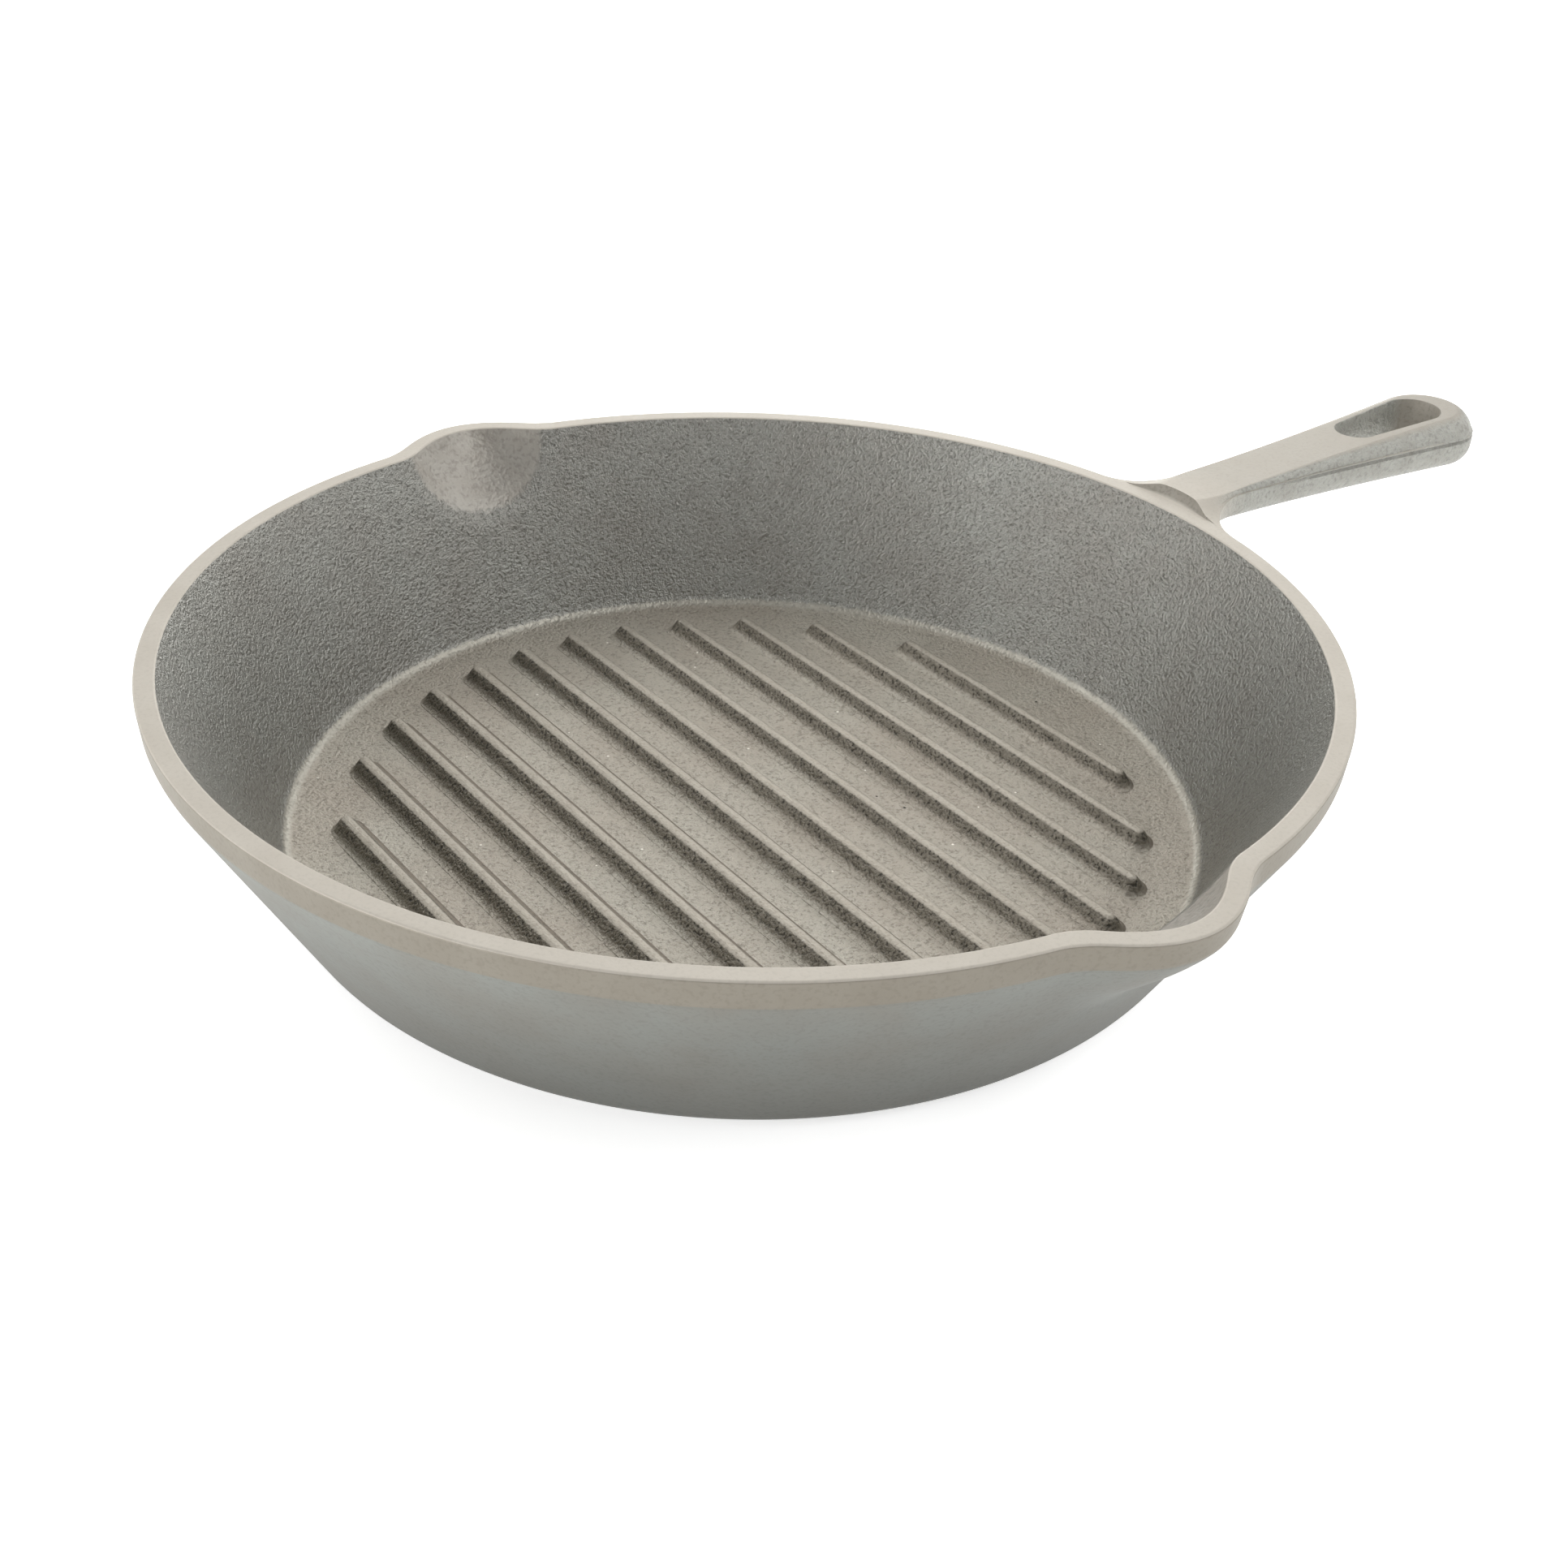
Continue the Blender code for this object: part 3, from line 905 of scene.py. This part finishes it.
    def mark_floor(self, bowl: bpy.types.Object) -> None:
        """Note where the floor's finish ends and where the painted highlight ring at the wall's foot
        lies.

        Args:
            bowl: The turned bowl before its spouts are pushed out.
        """
        reach = self.wall_foot_rounding / 2.0
        start = self.wall_foot[0] - reach
        end = self.inner_radius(self.wall_foot[1] + reach)
        floor_shares = []
        foot_shares = []
        for vertex in bowl.data.vertices:
            along = (math.hypot(vertex.co.x, vertex.co.y) - start) / (end - start)
            low, high = self.floor_finish_end
            floor_shares.append(1.0 - smooth_share((along - low) / (high - low)))
            off = abs(along - self.foot_highlight_middle) / self.foot_highlight_reach
            foot_shares.append(1.0 - smooth_share(off))
        write_mark(bowl, Mark.FLOOR, floor_shares)
        write_mark(bowl, Mark.FOOT, foot_shares)

    def spout_depth(self, across: float, height: float, wall_share: float) -> float:
        """Give how deep a place lies in a spout, 1 at its lip and below 0 outside it.

        Args:
            across: The distance from the spout's middle.
            height: The place's height.
            wall_share: 0 on the inner wall and 1 on the outer one.

        Returns:
            The depth as a share.
        """
        half_width = self.scoop_half_width + self.bulge_extra_half_width * wall_share
        depth = self.scoop_depth + self.bulge_extra_depth * wall_share
        return 1.0 - (across / half_width) ** 2 - ((self.height - height) / depth) ** 2

    def spout_push(self, depth: float) -> float:
        """Give how far a spout pushes the wall out, as a share of its reach.

        Args:
            depth: How deep the place lies in the spout.

        Returns:
            The share, eased where it meets the round wall.
        """
        push = self.spout_reach * math.copysign(abs(depth) ** self.spout_side_power, depth)
        if push < self.spout_softness:
            push = max(push + self.spout_softness, 0.0) ** 2 / (4.0 * self.spout_softness)
        return push / self.spout_reach

    def push_spouts(self, bowl: bpy.types.Object) -> None:
        """Push both spouts out along Y and note where their scoops are.

        Args:
            bowl: The turned bowl.
        """
        sides = {side: bowl.vertex_groups.new(name=f"spout_{side:+d}") for side in (-1, 1)}
        scoop_depths = []
        for vertex in bowl.data.vertices:
            radius = math.hypot(vertex.co.x, vertex.co.y)
            inner = self.inner_radius(vertex.co.z)
            wall = self.outer_radius(vertex.co.z) - inner
            wall_share = clamp((radius - inner) / wall)
            depth = self.spout_depth(vertex.co.x, vertex.co.z, wall_share)
            scoop_depths.append(depth if wall_share < 0.5 else -1.0)
            share = self.spout_push(depth)
            if share > 0.0 and radius > self.floor_radius:
                side = 1 if vertex.co.y > 0.0 else -1
                sides[side].add([vertex.index], share, "REPLACE")
        write_mark(bowl, Mark.SCOOP, scoop_depths)
        for side, group in sides.items():
            apply_modifier(
                bowl, "DISPLACE", direction="Y", mid_level=0.0,
                strength=self.spout_reach * side, vertex_group=group.name,
            )


@dataclass
class GrillRibs:
    """The parallel ribs, drafted on all sides, whose ends lie on a circle.

    Each level gives how far it stands in, as a share of the half width, and how high it
    lies, as a share of the height.
    """

    bowl: BowlShell
    count: int = 12
    outer_margin: float = 0.0132
    half_width: float = 0.0042
    height: float = 0.0035
    sink: float = 0.0006
    corner_share: float = 0.92
    corner_steps: int = 8
    crest_start: float = 0.86
    crease_top: float = 0.3
    flank_foot: float = 0.5
    levels: tuple[Point2, ...] = (
        (0.0, 0.0), (0.08, 0.015), (0.15, 0.05), (0.22, 0.11), (0.29, 0.195), (0.36, 0.305),
        (0.43, 0.43), (0.50, 0.56), (0.57, 0.685), (0.64, 0.79), (0.71, 0.875), (0.78, 0.94),
        (0.86, 0.982), (0.94, 1.0),
    )

    def outline(self, across: float, inset: float, height: float) -> list[Vector]:
        """Give a rib's outline at a height.

        Args:
            across: The rib's place across the pan.
            inset: How far the outline stands in from the foot's.
            height: The outline's height.

        Returns:
            The outline's points.
        """
        half_width = self.half_width - inset
        end_radius = self.bowl.floor_radius - inset
        corners = []
        for side, end in ((-1, -1), (1, -1), (1, 1), (-1, 1)):
            x = across + half_width * side
            y = math.sqrt(end_radius ** 2 - x ** 2) * end
            corners.append((x, y, half_width * self.corner_share))
        return [Vector((x, y, height)) for x, y in round_corners(corners, self.corner_steps)]

    def build_rib(self, across: float) -> bpy.types.Object:
        """Raise one rib from its sunk foot to its crest.

        Args:
            across: The rib's place across the pan.

        Returns:
            The rib.
        """
        floor = self.bowl.floor_height
        rings = [self.outline(across, 0.0, floor - self.sink)]
        for inset_share, height_share in self.levels:
            inset = self.half_width * inset_share
            rings.append(self.outline(across, inset, floor + self.height * height_share))
        bpy.ops.mesh.primitive_circle_add(vertices=len(rings[0]), fill_type="NGON")
        rib = edit_new_primitive("rib")
        raise_rings(rib, rings)
        bpy.ops.mesh.faces_shade_smooth()
        bpy.ops.object.mode_set(mode="OBJECT")
        self.mark_rib(rib, across)
        return rib

    def mark_rib(self, rib: bpy.types.Object, across: float) -> None:
        """Note where the rib's rubbed crest lies, and where shade is painted on its flanks and in
        the crease behind it.

        Args:
            rib: The rib.
            across: The rib's place across the pan.
        """
        crests = []
        flanks = []
        creases = []
        for vertex in rib.data.vertices:
            rise = (vertex.co.z - self.bowl.floor_height) / self.height
            crest = smooth_share((rise - self.crest_start) / (1.0 - self.crest_start))
            behind = clamp((vertex.co.x - across) / (self.half_width / 2.0))
            crests.append(crest)
            # The flank mark says where shade is painted on the rib's steep sides.
            flanks.append(smooth_share(rise / self.flank_foot) * (1.0 - crest))
            # The crease mark says where shade is painted low on the rib's far side.
            creases.append(behind * (1.0 - smooth_share(rise / self.crease_top)))
        write_mark(rib, Mark.CREST, crests)
        write_mark(rib, Mark.FLANK, flanks)
        write_mark(rib, Mark.CREASE, creases)

    def build(self) -> bpy.types.Object:
        """Raise all ribs and join them.

        Returns:
            The ribs as one piece.
        """
        reach = self.bowl.floor_radius - self.outer_margin
        ribs = []
        for index in range(self.count):
            across = share_between(-reach, reach, index / (self.count - 1))
            ribs.append(self.build_rib(across))
        deselect_all()
        for rib in ribs:
            rib.select_set(True)
        bpy.context.view_layer.objects.active = ribs[0]
        bpy.ops.object.join()
        joined = bpy.context.object
        joined.name = "grill_ribs"
        joined.data.materials.append(iron_material(
            FINE_FLOOR,
            # Painted shade darkens the steep flanks of the ribs.
            Overlay(FLANK_PAINTED_SHADE, Mark.FLANK, raggedness=0.8),
            Overlay(RUBBED_CREST, Mark.CREST, raggedness=0.5),
            # Painted shade: a dark brown line in the crease at the foot behind each rib.
            Overlay(CREASE_PAINTED_SHADE, Mark.CREASE),
        ))
        apply_modifier(joined, "WEIGHTED_NORMAL", keep_sharp=True)
        return joined


@dataclass
class Handle:
    """The cast handle with its parting line, its cove at the rim and its hang hole.

    Each step of the parting profile gives a drop below the parting line and an inset.
    """

    bowl: BowlShell
    length: float = 0.1114
    neck_half_width: float = 0.0088
    tip_half_width: float = 0.0145
    widening_power: float = 1.52
    root_fillet: float = 0.018
    top_step: float = 0.00205
    top_slope: float = 0.048
    parting_step: float = 0.0017
    parting_drop: float = 0.0020
    parting_ledge: float = 0.00045
    parting_profile: tuple[Point2, ...] = (
        (0.00110, 0.0), (0.00080, 0.00016), (0.00045, 0.00034), (0.00012, 0.00038),
        (0.0, 0.00010), (-0.00025, 0.00008),
    )
    parting_onset: float = 0.035
    parting_faintest: float = 0.12
    bead_roughness: float = 0.00028
    bead_scale: float = 900.0
    root_depth: float = 0.0057
    tip_depth: float = 0.0064
    top_edge_ratio: float = 1.1
    top_edge_power: float = 1.25
    top_flare: float = -0.55
    lower_edge_width: float = 0.0042
    lower_edge_height: float = 0.0050
    embed: float = 0.003
    edge_steps: int = 10
    root_stations: int = 16
    body_stations: int = 22
    tip_stations: int = 20
    cove_gap: float = 0.0004
    cove_radius: float = 0.0030
    cove_sweep: float = 78.0
    cove_reach: float = 0.010
    cove_half_length: float = 0.040
    cove_half_width: float = 0.0135
    cove_centre_y: float = 0.0010
    cove_least_share: float = 0.10
    cove_stations: int = 80
    cove_sink: float = 0.00002
    cove_steps: int = 10
    top_facing: Point2 = (0.80, 0.96)
    painted_shade_facing: Point2 = (-0.15, -0.55)
    hole_tip_wall: float = 0.0104
    hole_shift: float = 0.0006
    hole_tip_radius: float = 0.0080
    hole_root_radius: float = 0.0061
    hole_centre_distance: float = 0.0226
    hole_draft: float = 0.0009
    hole_edge_rounding: float = 0.00035
    hole_overrun: float = 0.003
    hole_mouth_gap: float = 0.000005
    hole_arc_steps: int = 24
    hole_edge_steps: int = 5

    def __post_init__(self) -> None:
        """Work out where the handle's parts lie along X."""
        rim = self.bowl.rim_radius
        self.tip_x = rim + self.length
        self.start_x = rim - self.embed
        self.tip_centre_x = self.tip_x - self.tip_half_width
        centre_distance = rim + self.root_fillet
        centre_y = self.neck_half_width + self.root_fillet
        self.neck_x = math.sqrt(centre_distance ** 2 - centre_y ** 2)
        self.fillet_rim_x = self.neck_x * rim / centre_distance
        self.hole_tip_x = self.tip_x - self.hole_tip_wall - self.hole_tip_radius
        self.hole_root_x = self.hole_tip_x - self.hole_centre_distance

    def top_height(self, x: float) -> float:
        """Give the height of the sloping flat top."""
        return self.bowl.height + self.top_step + self.top_slope * (x - self.bowl.rim_radius)

    def underside_height(self, x: float) -> float:
        """Give the height of the underside."""
        share = (x - self.neck_x) / (self.tip_centre_x - self.neck_x)
        return self.bowl.height - share_between(self.root_depth, self.tip_depth, share)

    def root_share(self, x: float) -> float:
        """Give 1 where the handle leaves the rim, easing to 0 at its neck."""
        return smooth_share((self.neck_x - x) / (self.neck_x - self.fillet_rim_x))

    def parting_height(self, x: float) -> float:
        """Give the height of the parting line, which dips to the rim at the root."""
        return self.bowl.height + self.parting_step - self.parting_drop * self.root_share(x)

    def top_edge_width(self, x: float) -> float:
        """Give how far the flat top stands in from the parting line."""
        rise = self.top_height(x) - self.bowl.height - self.parting_step
        return self.top_edge_ratio * rise

    def half_outline(self, inset_at: HeightAt, flare: float) -> list[Point2]:
        """Give half of the plan outline, from the root to the middle of the tip.

        Args:
            inset_at: How far the outline stands in at a place along the handle.
            flare: How much of the root's arc it follows.

        Returns:
            The outline's points.
        """
        points = []
        sweep = math.asin((self.neck_x - self.fillet_rim_x) / self.root_fillet)
        for step in range(self.root_stations):
            angle = sweep * (1.0 - step / self.root_stations)
            x = self.neck_x - self.root_fillet * math.sin(angle)
            widen = self.root_fillet * (1.0 - math.cos(angle))
            points.append((x, self.neck_half_width - inset_at(x) + widen * flare))
        points.insert(0, (self.start_x, points[0][1] * self.start_x / self.fillet_rim_x))
        for step in range(self.body_stations):
            share = step / self.body_stations
            x = share_between(self.neck_x, self.tip_centre_x, share)
            widening = share ** self.widening_power
            half_width = share_between(self.neck_half_width, self.tip_half_width, widening)
            points.append((x, half_width - inset_at(x)))
        radius = self.tip_half_width - inset_at(self.tip_centre_x)
        for step in range(self.tip_stations + 1):
            angle = math.pi / 2.0 * step / self.tip_stations
            x = self.tip_centre_x + radius * math.sin(angle)
            points.append((x, radius * math.cos(angle)))
        return points

    def ring(self, inset_at: HeightAt, flare: float, height_at: HeightAt) -> list[Vector]:
        """Give one closed level of the handle.

        Args:
            inset_at: How far the level stands in at a place along the handle.
            flare: How much of the root's arc it follows.
            height_at: The level's height at a place along the handle.

        Returns:
            The level's points, right side out to the tip and back.
        """
        right = [Vector((x, y, height_at(x))) for x, y in self.half_outline(inset_at, flare)]
        left = [Vector((point.x, -point.y, point.z)) for point in reversed(right[:-1])]
        return right + left

    def lower_levels(self) -> list[list[Vector]]:
        """Give the levels from the underside up to the groove under the parting line.

        Returns:
            The rings of the levels, from the lowest up.
        """
        rings = []
        for step in reversed(range(self.edge_steps + 1)):
            angle = math.pi / 2.0 * step / self.edge_steps
            inset = self.lower_edge_width * (1.0 - math.cos(angle))
            rise = self.lower_edge_height * (1.0 - math.sin(angle))
            rings.append(self.ring(
                lambda x: inset, 1.0, lambda x: self.underside_height(x) + rise
            ))
        return rings

    def parting_levels(self) -> list[list[Vector]]:
        """Give the groove and the worn bead of flash where the mould's halves met.

        Returns:
            The rings of the levels, from the lowest up.
        """
        rings = []
        for drop, inset in self.parting_profile:
            ring = self.ring(
                lambda x: inset * self.parting_strength(x),
                1.0,
                lambda x: self.parting_height(x) - drop * self.parting_strength(x),
            )
            if drop < 0.0:
                for point in ring:
                    wear = noise.noise(point * self.bead_scale) * self.bead_roughness
                    point.y -= math.copysign(max(wear, 0.0), point.y)
            rings.append(ring)
        return rings

    def parting_strength(self, x: float) -> float:
        """Give how far the parting line stands out, faint at the neck and full beyond it."""
        onset = smooth_share((x - self.neck_x) / self.parting_onset)
        return share_between(self.parting_faintest, 1.0, onset)

    def upper_levels(self) -> list[list[Vector]]:
        """Give the levels above the parting line, up to the flat top.

        Returns:
            The rings of the levels, from the lowest up.
        """
        rings = []
        for step in range(1, self.edge_steps + 1):
            share = step / self.edge_steps
            angle = math.pi / 2.0 * share
            inset_share = 1.0 - abs(math.cos(angle)) ** self.top_edge_power
            round_share = math.sin(angle) ** self.top_edge_power
            slope_share = smooth_share(share)

            def inset_at(x: float) -> float:
                """Give how far the level stands in at a place along the handle."""
                ledge = self.parting_ledge * (1.0 - self.root_share(x))
                return share_between(ledge, self.top_edge_width(x), inset_share)

            def height_at(x: float) -> float:
                """Give the level's height at a place along the handle."""
                height_share = share_between(round_share, slope_share, self.root_share(x))
                return share_between(self.parting_height(x), self.top_height(x), height_share)

            flare = share_between(1.0, self.top_flare, share)
            rings.append(self.ring(inset_at, flare, height_at))
        return rings

    def build(self) -> bpy.types.Object:
        """Raise the handle level by level, cove it at the rim and pierce it.

        Returns:
            The handle.
        """
        rings = self.lower_levels() + self.parting_levels() + self.upper_levels()
        bpy.ops.mesh.primitive_circle_add(vertices=len(rings[0]), fill_type="NGON")
        handle = edit_new_primitive("handle")
        raise_rings(handle, rings)
        bpy.ops.object.mode_set(mode="OBJECT")
        self.mark_groove(handle)
        subtract(handle, self.cove_cutter())
        subtract(handle, self.hole_cutter())
        merge_doubles(handle)
        self.lay_finishes(handle)
        handle.data.shade_smooth()
        handle.data.set_sharp_from_angle(angle=SMOOTH_SHADING_LIMIT)
        apply_modifier(handle, "WEIGHTED_NORMAL", keep_sharp=True)
        return handle

    def mark_groove(self, handle: bpy.types.Object) -> None:
        """Note where the groove under the parting line lies.

        Args:
            handle: The handle before it is coved and pierced.
        """
        lowest = self.parting_profile[0][0]
        grooves = []
        for vertex in handle.data.vertices:
            x = min(vertex.co.x, self.tip_x)
            strength = self.parting_strength(x)
            drop = (self.parting_height(x) - vertex.co.z) / strength
            lies_in_groove = MERGE_DISTANCE < drop < lowest - MERGE_DISTANCE
            grooves.append(strength if lies_in_groove else 0.0)
        write_mark(handle, Mark.GROOVE, grooves)

    def lay_finishes(self, handle: bpy.types.Object) -> None:
        """Give the flat top a rubbed finish, the sides the grain of the mould and the root the
        land's pale finish with its painted light, and paint shade into the groove under the parting
        line and on the faces turned towards the bowl.

        Args:
            handle: The pierced handle.
        """
        handle.data.materials.append(iron_material(
            HANDLE_SIDE,
            # Painted shade: a dark line in the groove under the parting line.
            Overlay(GROOVE_PAINTED_SHADE, Mark.GROOVE, start=0.4, end=1.5, raggedness=1.1),
            Overlay(RUBBED_TOP, Mark.UPWARD, *self.top_facing, raggedness=0.1),
            # The root takes the land's finish, ground and lifted with painted light.
            Overlay(GROUND_AND_LIT_LAND, Mark.ALONG, start=self.neck_x + self.embed,
                    end=self.bowl.rim_radius, raggedness=0.003),
            # Painted shade darkens the faces that turn towards the bowl, in the cove and the hang
            # hole.
            Overlay(COVE_PAINTED_SHADE, Mark.FORWARD, *self.painted_shade_facing),
        ))

    def cove_outline(self, y: float) -> list[Vector]:
        """Give the outline of the cove's cutter at a place across the handle.

        Args:
            y: The place across the handle.

        Returns:
            The outline's points, from the floor of the cove up its far wall and back.
        """
        start = math.sqrt((self.bowl.rim_radius + self.cove_gap) ** 2 - y ** 2)
        low = self.bowl.height - self.cove_sink
        inner = start - self.cove_reach
        top = low + self.cove_reach
        off_centre = (y - self.cove_centre_y) / self.cove_half_width
        depth = self.cove_radius * max(self.cove_least_share, 1.0 - off_centre ** 2)
        points = [Vector((inner, y, top)), Vector((inner, y, low))]
        for step in range(self.cove_steps + 1):
            angle = math.radians(self.cove_sweep) * step / self.cove_steps
            x = start + depth * math.sin(angle)
            points.append(Vector((x, y, low + self.cove_radius * (1.0 - math.cos(angle)))))
        points.append(Vector((points[-1].x, y, top)))
        return points

    def cove_cutter(self) -> bpy.types.Object:
        """Make the cutter that hollows the handle where its raised top meets the rim.

        Returns:
            The cutter.
        """
        rings = []
        for station in range(self.cove_stations + 1):
            share = station / self.cove_stations
            y = share_between(-self.cove_half_length, self.cove_half_length, share)
            rings.append(self.cove_outline(y))
        bpy.ops.mesh.primitive_circle_add(
            vertices=len(rings[0]), radius=self.cove_reach, fill_type="NGON"
        )
        cutter = edit_new_primitive("cove")
        raise_rings(cutter, rings)
        bpy.ops.object.mode_set(mode="OBJECT")
        return cutter

    def hole_edge(self) -> list[Point2]:
        """Give the rounding of the hang hole's edge, from a hair outside the handle inwards.

        Returns:
            How much narrower and how much deeper than the mouth each step is.
        """
        steps = []
        for step in range(self.hole_edge_steps + 1):
            angle = math.pi / 2.0 * step / self.hole_edge_steps
            narrow = self.hole_edge_rounding * math.sin(angle)
            depth = self.hole_edge_rounding * (1.0 - math.cos(angle)) - self.hole_mouth_gap
            steps.append((narrow, depth))
        return steps

    def hole_outline(self, narrow: float, height_at: HeightAt, lift: float) -> list[Vector]:
        """Give the hang hole's outline at a level.

        Args:
            narrow: How much narrower it is than the hole's mouth.
            height_at: The height of the level's surface at a place along the handle.
            lift: How far the level lies above that surface.

        Returns:
            The outline's points.
        """
        difference = self.hole_root_radius - self.hole_tip_radius
        lean = math.acos(difference / self.hole_centre_distance)
        points = []
        for centre, mouth_radius, start, end in (
            (self.hole_tip_x, self.hole_tip_radius, lean - math.pi, math.pi - lean),
            (self.hole_root_x, self.hole_root_radius, math.pi - lean, math.pi + lean),
        ):
            radius = mouth_radius - narrow
            for step in range(self.hole_arc_steps + 1):
                angle = share_between(start, end, step / self.hole_arc_steps)
                x = centre + radius * math.cos(angle)
                y = self.hole_shift + radius * math.sin(angle)
                points.append(Vector((x, y, height_at(x) + lift)))
        return points

    def hole_cutter(self) -> bpy.types.Object:
        """Make the hang hole's cutter, round at both mouths and narrowest at the parting.

        Returns:
            The cutter.
        """
        rings = [self.hole_outline(0.0, self.underside_height, -self.hole_overrun)]
        for narrow, depth in self.hole_edge():
            rings.append(self.hole_outline(narrow, self.underside_height, depth))
        waist = self.hole_edge_rounding + self.hole_draft
        parting = self.bowl.height + self.parting_step
        rings.append(self.hole_outline(waist, lambda x: parting, 0.0))
        for narrow, depth in reversed(self.hole_edge()):
            rings.append(self.hole_outline(narrow, self.top_height, -depth))
        rings.append(self.hole_outline(0.0, self.top_height, self.hole_overrun))
        bpy.ops.mesh.primitive_circle_add(vertices=len(rings[0]), fill_type="NGON")
        cutter = edit_new_primitive("hang_hole")
        raise_rings(cutter, rings)
        bpy.ops.object.mode_set(mode="OBJECT")
        return cutter


@dataclass
class Studio:
    """The pale table, the soft lamps and the camera at the photo's angle.

    Each lamp has a name, an azimuth, an elevation and a power in watts. The camera's turn
    is about X, Y and Z.
    """

    table_size: float = 3.6
    table_drop: float = 0.0001
    table_colour: str = "f2f2f2"
    table_roughness: float = 0.9
    table_lift: float = 0.64
    backdrop_top: Point2 = (0.12, 0.30)
    lamp_distance: float = 1.3
    lamp_size: float = 0.7
    lamps: tuple[tuple[str, float, float, float], ...] = (
        ("right_low", 0.0, 18.0, 2.0),
        ("right_high", 0.0, 45.0, 3.3),
        ("back_right_low", 45.0, 18.0, 4.5),
        ("back_right_high", 60.0, 45.0, 4.5),
        ("back_left_high", 120.0, 45.0, 4.9),
        ("back_left_low", 135.0, 18.0, 2.1),
        ("left_low", 180.0, 18.0, 7.7),
        ("front_right_high", 300.0, 45.0, 6.4),
    )
    lens_mm: float = 45.652
    sensor_mm: float = 36.0
    nearest_seen: float = 0.01
    camera_place: tuple[float, ...] = (-0.2287539, -0.3171751, 0.2501474)
    camera_turn: tuple[float, ...] = (58.79443, -1.98669, -35.88853)

    def build(self) -> None:
        """Set the stage."""
        self.lay_table()
        self.light_world()
        self.hang_lamps()
        self.place_camera()
        bpy.context.scene.view_settings.view_transform = "Standard"

    def lay_table(self) -> None:
        """Lay the white table, which shows white to the camera and keeps its shadow."""
        bpy.ops.mesh.primitive_plane_add(size=self.table_size, location=(0.0, 0.0, -self.table_drop))
        table = bpy.context.object
        table.name = "table"
        material = bpy.data.materials.new("white_table")
        material.use_nodes = True
        tree = material.node_tree
        shader = tree.nodes["Principled BSDF"]
        feed(tree, shader, "Base Color", linear_colour(self.table_colour))
        feed(tree, shader, "Roughness", self.table_roughness)
        path = add_node(tree, "ShaderNodeLightPath")
        mirrored = add_node(
            tree, "ShaderNodeMath",
            {0: path.outputs["Is Glossy Ray"], 1: path.outputs["Is Transmission Ray"]},
            operation="ADD",
        )
        seen = add_node(
            tree, "ShaderNodeMath",
            {0: mirrored.outputs[0], 1: path.outputs["Is Camera Ray"]}, operation="ADD",
        )
        lift = add_node(
            tree, "ShaderNodeMath", {0: seen.outputs[0], 1: self.table_lift},
            operation="MULTIPLY",
        )
        feed(tree, shader, "Emission Color", WHITE)
        feed(tree, shader, "Emission Strength", lift.outputs[0])
        table.data.materials.append(material)

    def light_world(self) -> None:
        """Make the world a white backdrop near the horizon and a dark room above it."""
        world = bpy.data.worlds.new("studio")
        bpy.context.scene.world = world
        world.use_nodes = True
        tree = world.node_tree
        direction = add_node(tree, "ShaderNodeTexCoord").outputs["Generated"]
        height = add_node(tree, "ShaderNodeSeparateXYZ", {0: direction}).outputs["Z"]
        strength = add_node(
            tree, "ShaderNodeMapRange",
            {"Value": height, "From Min": self.backdrop_top[0],
             "From Max": self.backdrop_top[1], "To Min": 1.0, "To Max": 0.0},
            interpolation_type="SMOOTHSTEP",
        )
        background = tree.nodes["Background"]
        feed(tree, background, "Color", WHITE)
        feed(tree, background, "Strength", strength.outputs["Result"])

    def hang_lamps(self) -> None:
        """Hang the soft boxes around the pan, each aimed at its middle."""
        for name, azimuth, elevation, power in self.lamps:
            flat = math.cos(math.radians(elevation))
            place = self.lamp_distance * Vector((
                math.cos(math.radians(azimuth)) * flat,
                math.sin(math.radians(azimuth)) * flat,
                math.sin(math.radians(elevation)),
            ))
            bpy.ops.object.light_add(type="AREA", location=place)
            lamp = bpy.context.object
            lamp.name = name
            lamp.data.size = self.lamp_size
            lamp.data.energy = power
            lamp.visible_camera = False
            lamp.rotation_euler = place.to_track_quat("Z", "Y").to_euler()

    def place_camera(self) -> None:
        """Place the camera where the photo was taken."""
        bpy.ops.object.camera_add(
            location=self.camera_place,
            rotation=[math.radians(angle) for angle in self.camera_turn],
        )
        camera = bpy.context.object
        camera.data.lens = self.lens_mm
        camera.data.sensor_width = self.sensor_mm
        camera.data.clip_start = self.nearest_seen
        bpy.context.scene.camera = camera


def main() -> None:
    """Build the pan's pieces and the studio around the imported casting."""
    logging.basicConfig(level=logging.INFO, format="%(name)s: %(message)s")
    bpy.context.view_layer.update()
    deselect_all()
    bowl = BowlShell()
    for piece in (bowl.build(), GrillRibs(bowl).build(), Handle(bowl).build()):
        put_on_casting(piece)
    Studio().build()


if __name__ == "__main__":
    main()
